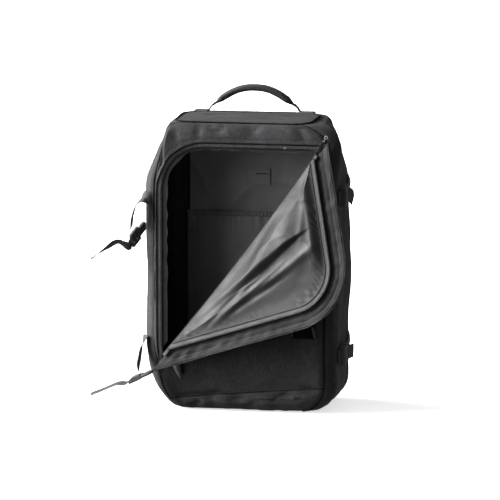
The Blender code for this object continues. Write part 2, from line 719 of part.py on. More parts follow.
def make_left_straps():
    """Undone straps on the left side: each tongue hangs from the front seam with a long tail."""
    face = -(BODY_WIDTH / 2 + GAP + WEB_THICK / 2)
    for tag, z in (("left_upper", UPPER_STRAP_Z), ("left_lower", LOWER_STRAP_Z)):
        place = buckle_frame((-BODY_WIDTH / 2 - 2 * GAP, LEFT_FEMALE_Y, z), (0, -1, 0), (0, 0, 1))
        make_female(tag, place)
        start = LEFT_FEMALE_Y + FEMALE_LENGTH + 0.006
        webbing(f"strap_rear_{tag}", [(face, start + 0.018, z + REAR_RISE / 3), (face, start, z)],
                [(0, 0, 1)], steps=1)

    place = buckle_frame((-0.182, -0.0593, UPPER_STRAP_Z - 0.071), (-0.42, -0.68, -0.60),
                         (-0.1, -0.7, 0.7))
    drop = [(-0.1608, -0.0953, 0), (-0.1725, -0.0963, -0.004), (-0.184, -0.0950, -0.016),
            (-0.191, -0.0935, -0.036), (-0.194, -0.0890, -0.056)]
    tail = [(-0.2191, -0.090, -0.083), (-0.2370, -0.090, -0.094), (-0.2516, -0.090, -0.104),
            (-0.2670, -0.090, -0.1155)]
    hang_strap("left_upper", place, UPPER_STRAP_Z, drop, tail, (0, 0, 1), (0.25, 0.9, 0.3))

    place = buckle_frame((-0.1684, -0.1135, LOWER_STRAP_Z - 0.039), (-0.90, 0.05, -0.43),
                         (0.0, -1.0, -0.1))
    drop = [(-0.1700, -0.0815, 0.034), (-0.1765, -0.0860, 0.012), (-0.1785, -0.0985, -0.008),
            (-0.1790, -0.1120, -0.022)]
    tail = [(-0.2155, -0.112, -0.050), (-0.2426, -0.112, -0.062), (-0.2634, -0.112, -0.0705)]
    hang_strap("left_lower", place, LOWER_STRAP_Z, drop, tail, (-0.5, 0.86, 0), (0.1, 0.95, 0.15))


def hang_strap(tag, place, z, drop, tail, drop_across, tail_across):
    """One hanging tongue, the strap it hangs from and its tail; drop and tail are above or below z."""
    make_male(tag, place)
    width_way = place.to_3x3() @ Vector((0, 0, 1))
    raised = [Vector(p) + Vector((0, 0, z)) for p in drop]
    webbing(f"strap_front_{tag}", raised, [drop_across, (0, 1, 0.3)])
    bend = [place @ Vector((BUCKLE_THICK / 2, MALE_LENGTH + run, 0)) for run in TAIL_START]
    along_tail = [Vector(p) + Vector((0, 0, z)) for p in tail]
    if width_way.dot(Vector(tail_across)) < 0:
        width_way = -width_way
    webbing(f"strap_tail_{tag}", bend + along_tail, [width_way, tail_across])


# ---------------------------------------------------------------- shoulder harness

def make_harness():
    """Padded shoulder straps on the back, their adjusters, lower webbing and the back pads."""
    back = BODY_DEPTH / 2 + GAP
    block("shoulder_yoke", (-0.105, back, HARNESS_TOP_Z), (0.105, back + 0.004, HARNESS_TOP_Z + 0.040),
          BLACK_FABRIC, bevel=0.001)
    block("back_pad", (-0.115, back, 0.120), (0.115, back + 0.008, 0.400), BACK_MESH, bevel=0.004)
    for side, sign in (("left", -1), ("right", 1)):
        route = [(sign * HARNESS_X, back + 0.013, HARNESS_TOP_Z - 0.004),
                 (sign * (HARNESS_X + 0.004), back + 0.034, HARNESS_TOP_Z - 0.055),
                 (sign * (HARNESS_X + 0.014), back + 0.040, HARNESS_TOP_Z - 0.125),
                 (sign * (HARNESS_X + 0.025), back + 0.034, HARNESS_TOP_Z - 0.195),
                 (sign * (HARNESS_X + 0.032), back + 0.024, HARNESS_TOP_Z - 0.245)]
        webbing(f"shoulder_strap_{side}", route, [(1, 0, 0)], BACK_MESH, PAD_WIDTH, PAD_THICK, steps=3)
        foot = Vector(route[-1])
        block(f"strap_adjuster_{side}", (foot.x - 0.017, foot.y - 0.004, foot.z - 0.030),
              (foot.x + 0.017, foot.y + 0.001, foot.z - 0.004), BLACK_PLASTIC, bevel=0.001)
        webbing(f"lower_webbing_{side}",
                [(foot.x, foot.y - 0.004, foot.z - 0.040),
                 (sign * (HARNESS_X + 0.045), back + 0.012, foot.z - 0.100),
                 (sign * (HARNESS_X + 0.055), back + 0.004, 0.060)], [(1, 0, 0)])


# ---------------------------------------------------------------- joint axes

def turn_about(point, names):
    """Put the origins of pieces that move together on their joint's axis."""
    for name in names:
        thing = bpy.data.objects[name]
        thing.data.transform(Matrix.Translation(-point))
        thing.location = point


def put_origins_on_axes():
    turn_about(Vector((FOLD_RIGHT.x, FOLD_AXIS_Y, FOLD_RIGHT.y)),
               ("door_shell", "door_lining", "door_zip_tape", "door_zip_coil", "door_rim"))
    turn_about(Vector((0, HANDLE_Y, HANDLE_AXIS_Z)), ("handle_sleeve",))
    turn_about(Vector((SIDE_SLIDER_AT[0], PULL_HINGE_Y, SIDE_SLIDER_AT[1])), ("slider_side", "pull_side"))
    turn_about(Vector((TOP_SLIDER_AT[0], PULL_HINGE_Y, TOP_SLIDER_AT[1])), ("slider_top", "pull_top"))
    for tag, z in (("upper", UPPER_STRAP_Z), ("lower", LOWER_STRAP_Z)):
        turn_about(Vector((BODY_WIDTH / 2, BUCKLE_Y, z)),
                   (f"buckle_male_right_{tag}", f"strap_tail_right_{tag}"))
        swing_x, swing_y = HANG_SEAM if tag == "upper" else LOWER_SWING
        turn_about(Vector((swing_x, swing_y, z)),
                   (f"strap_front_left_{tag}", f"buckle_male_left_{tag}", f"strap_tail_left_{tag}"))
    for side, sign in (("left", -1), ("right", 1)):
        turn_about(Vector((sign * HARNESS_X, BODY_DEPTH / 2 + HARNESS_STAND, HARNESS_TOP_Z)),
                   (f"shoulder_strap_{side}", f"strap_adjuster_{side}"))


clear_scene()
make_body_panels()
make_front_border()
make_lining()
make_back_layers()
make_inner_pocket()
make_front_details()
make_zip_on_bag()
make_door_flap()
make_sliders()
make_top_handle()
make_right_straps()
make_left_straps()
make_harness()
put_origins_on_axes()
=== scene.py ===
"""Looks for the travel backpack: sewn fabric, lining, zip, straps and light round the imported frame."""

import json
import math

import bmesh
import bpy
import numpy as np
from mathutils import Matrix, Vector, noise


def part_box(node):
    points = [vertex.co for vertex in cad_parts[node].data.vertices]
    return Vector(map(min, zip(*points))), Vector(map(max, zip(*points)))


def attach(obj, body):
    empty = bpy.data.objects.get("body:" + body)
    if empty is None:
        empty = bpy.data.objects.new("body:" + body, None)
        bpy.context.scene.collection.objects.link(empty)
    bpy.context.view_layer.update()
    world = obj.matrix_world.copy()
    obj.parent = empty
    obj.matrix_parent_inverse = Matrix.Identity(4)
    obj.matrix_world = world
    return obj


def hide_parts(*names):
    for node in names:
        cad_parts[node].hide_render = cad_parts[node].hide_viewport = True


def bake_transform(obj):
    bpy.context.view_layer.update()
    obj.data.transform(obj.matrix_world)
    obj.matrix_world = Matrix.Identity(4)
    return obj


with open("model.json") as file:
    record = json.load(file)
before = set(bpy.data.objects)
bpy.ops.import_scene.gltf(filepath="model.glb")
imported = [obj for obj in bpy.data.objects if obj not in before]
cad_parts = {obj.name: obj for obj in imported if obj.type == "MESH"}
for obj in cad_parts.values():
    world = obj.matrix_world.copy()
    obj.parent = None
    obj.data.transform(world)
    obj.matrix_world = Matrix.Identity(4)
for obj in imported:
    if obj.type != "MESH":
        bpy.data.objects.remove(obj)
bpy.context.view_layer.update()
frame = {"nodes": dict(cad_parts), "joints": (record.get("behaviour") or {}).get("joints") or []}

# ---------------------------------------------------------------- sizes of the bag, in metres
# its box and its joints come from the frame, the roundings and the zip's line are set here
HALF_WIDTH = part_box("side_panel_right")[1].x
HALF_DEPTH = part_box("back_panel")[1].y
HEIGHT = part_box("top_panel")[1].z
CORNER_RADIUS = 0.036
SHOULDER_RADIUS = 0.050
TOP_EDGE_RADIUS = 0.025
FOOT_RADIUS = 0.040
FOOT_EDGE_RADIUS = 0.028
SEAM_INSET = 0.019

JOINTS = {joint["name"]: joint for joint in frame["joints"]}
FOLD_AXIS = Vector(JOINTS["door_fold"]["axis"]).normalized()
FOLD_AXIS_Y = JOINTS["door_fold"]["pos_m"][1]
FOLD_OPEN = math.radians(JOINTS["door_fold"]["range_deg"][1])
COIL_LEFT_X = -0.137
COIL_TOP_Z = 0.471
COIL_RADIUS = 0.075
TAPE_WIDTH = 0.010
RIM_WIDTH = 0.027
FOLD_TOP = Vector((0.140, FOLD_AXIS_Y, COIL_TOP_Z))
FOLD_FOOT = Vector((COIL_LEFT_X, FOLD_AXIS_Y, 0.103))
FOLD_LENGTH = (FOLD_FOOT - FOLD_TOP).length
FOLD_UP = Vector((FOLD_AXIS.z, 0, -FOLD_AXIS.x))        # from the fold into the opening
FOLD_CLEARANCE = 0.010
FOLD_BOW = 0.006                                         # the fold sags this far towards the corner

# ---------------------------------------------------------------- sizes of cloth, straps and zip
SKIN = 0.0018                                            # shell fabric
LINING = 0.0008
LINING_DEPTH = 0.0034                                    # of the side linings behind the shell's skin
TAPE = 0.0009
SHELL_THREAD = 0.0010                                    # pitch of the weave
LINING_THREAD = 0.0007
THREAD_LIFT = 0.0002                                     # stitches stand this far off their cloth
GAP = 0.0003                                             # between two sewn or clipped parts
WEB_WIDTH = 0.025
WEB_THICK = 0.0015
LOOP_WIDTH = 0.0244                                      # webbing where it passes through a buckle
UPPER_STRAP_Z = JOINTS["left_upper_swing"]["pos_m"][2]
LOWER_STRAP_Z = 0.098
RIGHT_BUCKLE_Y = -0.012
LEFT_BUCKLE_Y = 0.010
HOUSING_LENGTH = 0.034
ODD_WAY = (0.31, 0.52, 0.79)                             # along no seam, to find ways across them
TOOTH_PITCH = 0.0021
TOOTH_WIDTH = 0.0028
TOOTH_THICK = 0.0016
TOP_PULL_TURN = math.radians(-150)
TOP_PULL_LEAN = math.radians(4)
CLOSED_DEPTHS = {                                        # layers of the closed door, front to back
    "rim": -HALF_DEPTH - 0.0020,
    "shell": -HALF_DEPTH + 0.0005,
    "lining": -HALF_DEPTH + 0.0034,
    "tape": -HALF_DEPTH + 0.0040,
    "binding": -HALF_DEPTH + 0.0046,
    "teeth": -HALF_DEPTH + 0.0049,
}


# ---------------------------------------------------------------- how the filled bag slumps

def ease(low, high, value):
    """A smooth step from 0 at low to 1 at high."""
    part = np.clip((value - low) / (high - low), 0, 1)
    return part * part * (3 - 2 * part)


def slump(points):
    """Soft corners give way: both shoulders lean in, the top's front edge twists, a foot tucks under."""
    points = np.array(points, float)
    x, y, z = np.moveaxis(points, -1, 0).copy()
    left_shoulder = 0.030 * ease(0.395, 0.500, z) * np.clip((-x - 0.128) / 0.040, 0, 1)
    twist = 0.018 * np.clip(-y / 0.080, -1.2, 1) - 0.006 * (1 - ease(0.490, HEIGHT, z))
    right_shoulder = twist * ease(0.390, 0.490, z) * np.clip((x - 0.128) / 0.034, 0, 1)
    side_bulge = 0.0035 * ease(0.140, 0.220, z) * (1 - ease(0.290, 0.360, z))
    side_bulge = side_bulge * np.clip((x - 0.1) / 0.06, 0, 1)
    front = 0.7 - 0.3 * np.clip(y / 0.090, -1, 1)
    left_foot = 0.036 * (1 - ease(0.0, 0.085, z)) * np.clip((-x - 0.060) / 0.110, 0, 1) * front
    right_foot = 0.007 * (1 - ease(0.0, 0.055, z)) * np.clip((x - 0.060) / 0.110, 0, 1)
    tuck = 0.008 * hump(z, 0.075, 0.028) * np.clip((-x - 0.1) / 0.06, 0, 1)
    tuck = tuck * np.clip((-y - 0.030) / 0.060, 0, 1)
    points[..., 0] += left_shoulder + right_shoulder + side_bulge + left_foot - right_foot + tuck
    return points


# ---------------------------------------------------------------- materials

class Graph:
    """Short calls to build one material's nodes."""

    def __init__(self, name):
        self.material = bpy.data.materials.new(name)
        self.material.use_nodes = True
        self.tree = self.material.node_tree
        self.shader = self.tree.nodes["Principled BSDF"]
        self.place = self.node("ShaderNodeTexCoord").outputs["Object"]

    def node(self, kind, **values):
        made = self.tree.nodes.new(kind)
        for key, value in values.items():
            setattr(made, key, value)
        return made

    def wire(self, source, target):
        if isinstance(source, (int, float)):
            target.default_value = source
        else:
            self.tree.links.new(source, target)

    def math(self, operation, first, second=0.0):
        made = self.node("ShaderNodeMath", operation=operation)
        self.wire(first, made.inputs[0])
        self.wire(second, made.inputs[1])
        return made.outputs[0]

    def noise(self, scale, detail=4.0, stretch=(1, 1, 1), rough=0.55):
        place = self.node("ShaderNodeMapping")
        self.wire(self.place, place.inputs["Vector"])
        place.inputs["Scale"].default_value = stretch
        made = self.node("ShaderNodeTexNoise")
        self.wire(place.outputs[0], made.inputs["Vector"])
        made.inputs["Scale"].default_value = scale
        made.inputs["Detail"].default_value = detail
        made.inputs["Roughness"].default_value = rough
        return made.outputs["Fac"]

    def spread(self, value, low, high, from_low=0.3, from_high=0.7):
        made = self.node("ShaderNodeMapRange")
        self.wire(value, made.inputs["Value"])
        for key, number in (("From Min", from_low), ("From Max", from_high), ("To Min", low),
                            ("To Max", high)):
            made.inputs[key].default_value = number
        return made.outputs[0]

    def tint(self, colour, factor):
        made = self.node("ShaderNodeVectorMath", operation="SCALE")
        made.inputs[0].default_value = colour
        self.wire(factor, made.inputs["Scale"])
        return made.outputs[0]

    def bump(self, height, distance, strength=1.0, below=None):
        made = self.node("ShaderNodeBump")
        made.inputs["Strength"].default_value = strength
        made.inputs["Distance"].default_value = distance
        self.wire(height, made.inputs["Height"])
        if below is not None:
            self.wire(below, made.inputs["Normal"])
        return made.outputs[0]

    def weave(self, pitch):
        """Height of a plain weave, threads crossing at a pitch in metres."""
        split = self.node("ShaderNodeSeparateXYZ")
        self.wire(self.place, split.inputs[0])
        x, y, z = split.outputs
        across = self.math("ADD", x, y)
        along = self.math("ADD", z, self.math("MULTIPLY", self.math("SUBTRACT", x, y), 0.08))
        turn = 2 * math.pi / pitch
        waves = [self.math("SINE", self.math("MULTIPLY", way, turn)) for way in (across, along)]
        return self.math("MULTIPLY", *waves)


def finish(graph, colour, roughness, normal, sheen=0.0, specular=0.5):
    """Wire the last inputs of a material and return it."""
    shader = graph.shader
    graph.wire(colour, shader.inputs["Base Color"])
    graph.wire(roughness, shader.inputs["Roughness"])
    graph.wire(normal, shader.inputs["Normal"])
    shader.inputs["Sheen Weight"].default_value = sheen
    shader.inputs["Sheen Roughness"].default_value = 0.45
    shader.inputs["Specular IOR Level"].default_value = specular
    return graph.material


def woven(name, colour, rough, sheen, crumple=0.0004, specular=0.5):
    """Coated polyester: a plain weave with faded, rubbed patches and fine crumpling."""
    graph = Graph(name)
    patches = graph.noise(14, 5)
    streaks = graph.noise(240, 3, (1, 1, 0.5), 0.7)
    threads = graph.noise(900, 2, (1, 1, 0.25))
    shade = graph.math("MULTIPLY", graph.spread(patches, 0.75, 1.25), graph.spread(threads, 0.8, 1.2))
    shade = graph.math("MULTIPLY", shade, graph.spread(streaks, 0.70, 1.30))
    roughness = graph.spread(graph.noise(35, 3), rough - 0.07, rough + 0.07)
    soft = graph.bump(graph.noise(70, 4), crumple, 0.8)
    fine = graph.bump(graph.weave(SHELL_THREAD), 0.00012, 0.5, soft)
    return finish(graph, graph.tint(colour, shade), roughness, fine, sheen, specular)


def satin(name, colour, rough, sheen, crumple, specular=0.5):
    """Thin coated lining with a fine ripstop grid and sharp small creases."""
    graph = Graph(name)
    patches = graph.noise(9, 4)
    shade = graph.spread(patches, 0.8, 1.2)
    roughness = graph.spread(graph.noise(24, 4), rough - 0.08, rough + 0.10)
    crease = graph.noise(26, 6, (1, 1, 0.45), 0.62)
    soft = graph.bump(crease, crumple, 1.0)
    fine = graph.bump(graph.weave(LINING_THREAD), 0.00006, 0.4, soft)
    return finish(graph, graph.tint(colour, shade), roughness, fine, sheen, specular)


def webbed(name, colour, rough=0.6, specular=0.5):
    """Flat webbing: ribs across its length, from the strap's own flat measures in metres."""
    graph = Graph(name)
    flat = graph.node("ShaderNodeUVMap", uv_map="flat").outputs[0]
    split = graph.node("ShaderNodeSeparateXYZ")
    graph.wire(flat, split.inputs[0])
    across, along = split.outputs[0], split.outputs[1]
    ribs = graph.math("SINE", graph.math("MULTIPLY", along, 2 * math.pi / 0.0016))
    cords = graph.math("SINE", graph.math("MULTIPLY", across, 2 * math.pi / 0.0025))
    height = graph.math("ADD", ribs, graph.math("MULTIPLY", cords, 0.6))
    # painted shade and light: the rib and cord heights also tint the colour, darker in the grooves and
    # lighter on the crowns
    shade = graph.math("MULTIPLY", graph.spread(height, 0.7, 1.35, -1.5, 1.5),
                       graph.spread(graph.noise(40, 4), 0.85, 1.15))
    normal = graph.bump(height, 0.00018, 0.8)
    roughness = graph.spread(graph.noise(60, 3), rough - 0.06, rough + 0.08)
    return finish(graph, graph.tint(colour, shade), roughness, normal, 0.3 * specular, specular)


def moulded(name, colour, rough, specular=0.5):
    """Moulded plastic or rubber with a fine texture and rubbed, slightly shinier patches."""
    graph = Graph(name)
    shade = graph.spread(graph.noise(45, 4), 0.88, 1.14)
    roughness = graph.spread(graph.noise(120, 4), rough - 0.06, rough + 0.10)
    normal = graph.bump(graph.noise(1800, 2), 0.00005, 0.6)
    return finish(graph, graph.tint(colour, shade), roughness, normal, 0.0, specular)


def spacer_mesh(name, colour):
    """Padded air mesh: a honeycomb of small holes, darkened with painted shade."""
    graph = Graph(name)
    cells = graph.node("ShaderNodeTexVoronoi")
    graph.wire(graph.place, cells.inputs["Vector"])
    cells.inputs["Scale"].default_value = 330
    # painted shade: the colour darkens towards each cell's centre, where the bump sinks into a hole
    holes = graph.spread(cells.outputs["Distance"], 0.35, 1.2, 0.12, 0.5)
    shade = graph.math("MULTIPLY", holes, graph.spread(graph.noise(20, 3), 0.85, 1.15))
    normal = graph.bump(cells.outputs["Distance"], 0.0006, 0.8)
    return finish(graph, graph.tint(colour, shade), 0.85, normal, 0.2)


def foam(name, colour):
    graph = Graph(name)
    shade = graph.spread(graph.noise(300, 3), 0.8, 1.15)
    return finish(graph, graph.tint(colour, shade), 0.95, graph.bump(graph.noise(1200, 2), 0.0003, 0.7))


SHELL_LOOK = woven("shell_fabric", (0.027, 0.0273, 0.0285), 0.60, 0.02, specular=0.12)
RIM_LOOK = woven("rim_fabric", (0.0080, 0.0082, 0.0087), 0.60, 0.02, 0.0008, specular=0.12)
LINING_LOOK = satin("grey_lining", (0.0116, 0.0118, 0.0123), 0.50, 0.02, 0.0009, specular=0.22)
DARK_LINING_LOOK = satin("dark_lining", (0.014, 0.0142, 0.0148), 0.55, 0.01, 0.0010, specular=0.15)
# painted shade: near-black binding for the piping and the border's hem; at the hem the near black stands
# for the shade under the border's folded edge
BINDING_AND_SHADE_LOOK = woven("hem_binding", (0.006, 0.0061, 0.0064), 0.70, 0.0, specular=0.05)
# painted light: far paler than the door's lining, so the back wall, its label and its pocket look lit
# inside the bag
BACK_LINING_PAINTED_LIGHT_LOOK = satin("back_lining", (0.165, 0.167, 0.172), 0.48, 0.05, 0.0012)
WEB_LOOK = webbed("black_webbing", (0.040, 0.0406, 0.0425), specular=0.20)
PATCH_LOOK = webbed("patch_webbing", (0.004, 0.004, 0.0042), 0.7, specular=0.05)
TAPE_LOOK = webbed("zip_tape", (0.066, 0.067, 0.069), 0.7, specular=0.25)
COIL_LOOK = moulded("coil_plastic", (0.008, 0.008, 0.0085), 0.35)
BUCKLE_LOOK = moulded("buckle_plastic", (0.070, 0.071, 0.074), 0.48, specular=0.30)
METAL_LOOK = moulded("painted_slider", (0.014, 0.014, 0.015), 0.42, specular=0.25)
PULL_LOOK = moulded("pull_rubber", (0.010, 0.010, 0.011), 0.55, specular=0.15)
# painted highlight: a light grey on small metal bits, standing for the white glints on the top pull and the
# upper zip line
METAL_GLINT_LOOK = moulded("bright_metal", (0.22, 0.22, 0.23), 0.42, specular=0.4)
THREAD_LOOK = moulded("thread", (0.055, 0.056, 0.060), 0.60)
MESH_LOOK = spacer_mesh("spacer_mesh", (0.050, 0.051, 0.054))
FOAM_LOOK = foam("plain_foam", (0.30, 0.30, 0.31))
SHEET_LOOK = moulded("frame_plastic", (0.50, 0.51, 0.51), 0.45)


# ---------------------------------------------------------------- mesh helpers

def add_piece(name, points, faces, look, body, slot, replaces=(), flat=None):
    """A mesh that moves with a body and stands for the CAD nodes it replaces."""
    if body == "bag":
        points = slump(points)
    mesh = bpy.data.meshes.new(name)
    mesh.from_pydata(np.asarray(points).tolist(), [], [list(map(int, face)) for face in faces])
    bm = bmesh.new()
    bm.from_mesh(mesh)
    bmesh.ops.recalc_face_normals(bm, faces=bm.faces)
    bm.to_mesh(mesh)
    bm.free()
    if flat is not None:
        layer = mesh.uv_layers.new(name="flat")
        corners = np.empty(len(mesh.loops), np.int32)
        mesh.loops.foreach_get("vertex_index", corners)
        layer.data.foreach_set("uv", np.asarray(flat, np.float32)[corners].ravel())
    mesh.materials.append(look)
    mesh.shade_smooth()
    mesh.set_sharp_from_angle(angle=math.radians(50))
    made = bpy.data.objects.new(name, mesh)
    bpy.context.scene.collection.objects.link(made)
    if body:
        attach(made, body)
    if replaces:
        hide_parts(*replaces)
    return made


def layered(outer, inner):
    """Points, faces and flat measures of a closed sheet between two equal grids of points."""
    rows, cols = outer.shape[:2]
    count = rows * cols
    points = np.concatenate([outer.reshape(-1, 3), inner.reshape(-1, 3)])
    index = np.arange(count).reshape(rows, cols)
    quads = np.stack([index[:-1, :-1], index[:-1, 1:], index[1:, 1:], index[1:, :-1]], -1)
    quads = quads.reshape(-1, 4)
    edge = np.concatenate([index[0, :-1], index[:-1, -1], index[-1, :0:-1], index[:0:-1, 0]])
    after = np.roll(edge, -1)
    wall = np.stack([after, edge, edge + count, after + count], -1)
    flat = np.stack([travelled(outer, 1), travelled(outer, 0)], -1).reshape(-1, 2)
    return points, np.concatenate([quads, quads[:, ::-1] + count, wall]), np.concatenate([flat, flat])


def sheet_piece(name, outer, inner, look, body, slot, replaces=()):
    """A closed sheet between two equal grids of points."""
    points, faces, flat = layered(outer, inner)
    return add_piece(name, points, faces, look, body, slot, replaces, flat)


def normals_of(grid, centre):
    """Unit normals of a grid of points, away from a centre point."""
    cross = np.cross(np.gradient(grid, axis=1), np.gradient(grid, axis=0))
    cross /= np.maximum(np.linalg.norm(cross, axis=2, keepdims=True), 1e-12)
    middle = cross[grid.shape[0] // 2, grid.shape[1] // 2]
    away = grid[grid.shape[0] // 2, grid.shape[1] // 2] - np.array(centre)
    return cross if middle @ away > 0 else -cross


def swells(points, size, seed=0.0, stretch=(1, 1, 1)):
    """Smooth random heights from about -1 to 1 at points, one swell to about a size in metres."""
    scaled = points.reshape(-1, 3) * (np.array(stretch) / size) + seed
    return np.array([noise.noise(Vector(p)) for p in scaled]).reshape(points.shape[:-1])


def creases(points, size, seed=0.0, stretch=(1, 1, 1), sharp=6):
    """Thin ridges between 0 and 1, as cloth makes where it is pinched."""
    return (1 - np.minimum(np.abs(swells(points, size, seed, stretch)) * 2, 1)) ** sharp


def travelled(grid, axis):
    """Distance in metres down the columns (axis 0) or along the rows (axis 1) of a grid of points."""
    steps = np.diff(grid, axis=axis, prepend=grid.take([0], axis))
    return np.linalg.norm(steps, axis=2).cumsum(axis)


def edge_distance(grid):
    """Distance in metres of each point of a grid from the grid's nearest edge."""
    across, along = travelled(grid, 1), travelled(grid, 0)
    return np.minimum.reduce([across, across[:, -1:] - across, along, along[-1:] - along])


def hump(value, middle, width, power=2):
    """A smooth hump, 1 at its middle and falling to 0 beyond its width."""
    return np.exp(-((value - middle) / width) ** power)


def moved_back(points, distance):
    """The same points, farther from the viewer by a distance."""
    return points + np.array([0, distance, 0])


def box_grid(node, columns, rows):
    """A CAD node's box, and points spread over the side of it nearest the viewer."""
    low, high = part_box(node)
    xs, zs = np.linspace(low.x, high.x, columns), np.linspace(low.z, high.z, rows)
    return low, high, np.array([[(x, low.y, z) for x in xs] for z in zs])


def closed_rings(rings):
    """Points and faces of a solid through equal rings of points, with a cap at each end."""
    count, sides = len(rings), len(rings[0])
    faces = []
    for i in range(count - 1):
        for j in range(sides):
            k = (j + 1) % sides
            faces.append((i * sides + j, i * sides + k, (i + 1) * sides + k, (i + 1) * sides + j))
    faces.append(tuple(range(sides)))
    faces.append(tuple(range((count - 1) * sides, count * sides)))
    return np.array(rings).reshape(-1, 3), faces


def tube(name, path, radius, look, body, slot, sides=8):
    """A closed round tube along a line of points."""
    path = np.asarray(path, float)
    ahead = np.gradient(path, axis=0)
    ahead /= np.maximum(np.linalg.norm(ahead, axis=1, keepdims=True), 1e-12)
    side = np.cross(ahead[0], ODD_WAY)
    rings = []
    for point, forward in zip(path, ahead):
        side = side - (side @ forward) * forward
        side /= np.linalg.norm(side)
        other = np.cross(forward, side)
        turns = 2 * math.pi * np.arange(sides) / sides
        rings.append(point + radius * (np.cos(turns)[:, None] * side + np.sin(turns)[:, None] * other))
    return add_piece(name, *closed_rings(rings), look, body, slot)


def resample(path, step):
    """Points and directions at equal steps along a line of points."""
    path = np.asarray(path, float)
    run = np.concatenate([[0], np.linalg.norm(np.diff(path, axis=0), axis=1).cumsum()])
    places = np.arange(step / 2, run[-1], step)
    points = np.stack([np.interp(places, run, path[:, i]) for i in range(3)], -1)
    ahead = np.stack([np.interp(places + step / 4, run, path[:, i]) for i in range(3)], -1) - points
    ahead /= np.maximum(np.linalg.norm(ahead, axis=1, keepdims=True), 1e-12)
    return points, ahead


def stitches(name, path, body, slot="shell_fabric", pitch=0.0042, length=0.0028, radius=0.0004):
    """A row of thread stitches, one small closed lozenge for each."""
    points, ahead = resample(path, pitch)
    up = np.cross(ahead, ODD_WAY)
    up /= np.linalg.norm(up, axis=1, keepdims=True)
    side = np.cross(ahead, up)
    corners = [points - ahead * length / 2, points + ahead * length / 2]
    corners += [points + way * radius for way in (up, side, -up, -side)]
    corners = np.stack(corners, 1).reshape(-1, 3)
    faces = []
    for i in range(len(points)):
        at = 6 * i
        for j in range(4):
            a, b = at + 2 + j, at + 2 + (j + 1) % 4
            faces += [(at, a, b), (at + 1, b, a)]
    return add_piece(name, corners, faces, THREAD_LOOK, body, slot)


def smooth_route(points, steps):
    """A Catmull-Rom curve through the points, with a number of steps in each stretch."""
    points = [Vector(p) for p in points]
    padded = [2 * points[0] - points[1]] + points + [2 * points[-1] - points[-2]]
    route = []
    for i in range(1, len(padded) - 2):
        p0, p1, p2, p3 = padded[i - 1:i + 3]
        for k in range(steps):
            t = k / steps
            route.append(0.5 * (2 * p1 + (p2 - p0) * t + (2 * p0 - 5 * p1 + 4 * p2 - p3) * t ** 2
                                + (3 * p1 - p0 - 3 * p2 + p3) * t ** 3))
    return route + [points[-1]]


def strap_grids(line, way_at, width, columns, lift_at):
    """Points over and under a strap, from its width way and half thickness along a line."""
    grids = ([], [])
    last = len(line) - 1
    for i, point in enumerate(line):
        ahead = (line[min(i + 1, last)] - line[max(i - 1, 0)]).normalized()
        way = way_at(i / last)
        side = (way - way.dot(ahead) * ahead).normalized()
        up = ahead.cross(side)
        from_end = min(i, last - i) / last
        parts = [2 * j / columns - 1 for j in range(columns + 1)]
        for grid, sign in zip(grids, (1, -1)):
            grid.append([tuple(point + side * (part * width / 2) + up * (sign * lift_at(part, from_end)))
                         for part in parts])
    return np.array(grids[0]), np.array(grids[1])


def webbing(name, route, across, body, replaces=(), width=WEB_WIDTH, thick=WEB_THICK, steps=10):
    """A flat strap with rounded selvedges along a smooth route; across is its width way at its ends."""
    ways = [Vector(way) for way in across] * (2 if len(across) == 1 else 1)

    def way_at(part):
        place = part * (len(ways) - 1)
        before = min(int(place), len(ways) - 2)
        return ways[before].lerp(ways[before + 1], place - before)

    def lift_at(part, from_end):
        return thick / 2 * (1.0 if abs(part) < 0.99 else 0.45)

    outer, inner = strap_grids(smooth_route(route, steps), way_at, width, 6, lift_at)
    return sheet_piece(name, outer, inner, WEB_LOOK, body, "webbing", replaces)


# ---------------------------------------------------------------- the bag's surface

def half_sizes(z):
    """Half the width and half the depth of the bag at a height."""
    foot = min(1.0, max(0.0, (FOOT_RADIUS - z) / FOOT_RADIUS))
    top = min(1.0, max(0.0, (z - HEIGHT + SHOULDER_RADIUS) / SHOULDER_RADIUS))
    foot, top = (1 - math.sqrt(1 - part ** 2) for part in (foot, top))
    half_width = HALF_WIDTH - FOOT_RADIUS * foot - SHOULDER_RADIUS * top
    return half_width, HALF_DEPTH - FOOT_EDGE_RADIUS * foot - TOP_EDGE_RADIUS * top


def seam_x(z):
    """Distance of the piped seams from the middle at a height."""
    return half_sizes(z)[0] - SEAM_INSET


def face_y(x, z):
    """Distance of the front or back skin from the middle plane."""
    half_width, half_depth = half_sizes(z)
    past = abs(x) - (half_width - CORNER_RADIUS)
    if past <= 0:
        return half_depth
    return half_depth - CORNER_RADIUS + math.sqrt(max(CORNER_RADIUS ** 2 - past ** 2, 0.0))


def level_rows(low, high, middle=60):
    """Heights from low to high, closer together where the bag rounds over at its foot and top."""
    arc = 14
    shoulder = HEIGHT - SHOULDER_RADIUS
    rows = [FOOT_RADIUS * (1 - math.cos(math.pi / 2 * i / arc)) for i in range(arc + 1)]
    rows += [FOOT_RADIUS + (shoulder - FOOT_RADIUS) * (i + 1) / (middle + 1) for i in range(middle)]
    rows += [shoulder + SHOULDER_RADIUS * math.sin(math.pi / 2 * i / arc) for i in range(arc + 1)]
    return [low] + [z for z in rows if low + 0.002 < z < high - 0.002] + [high]


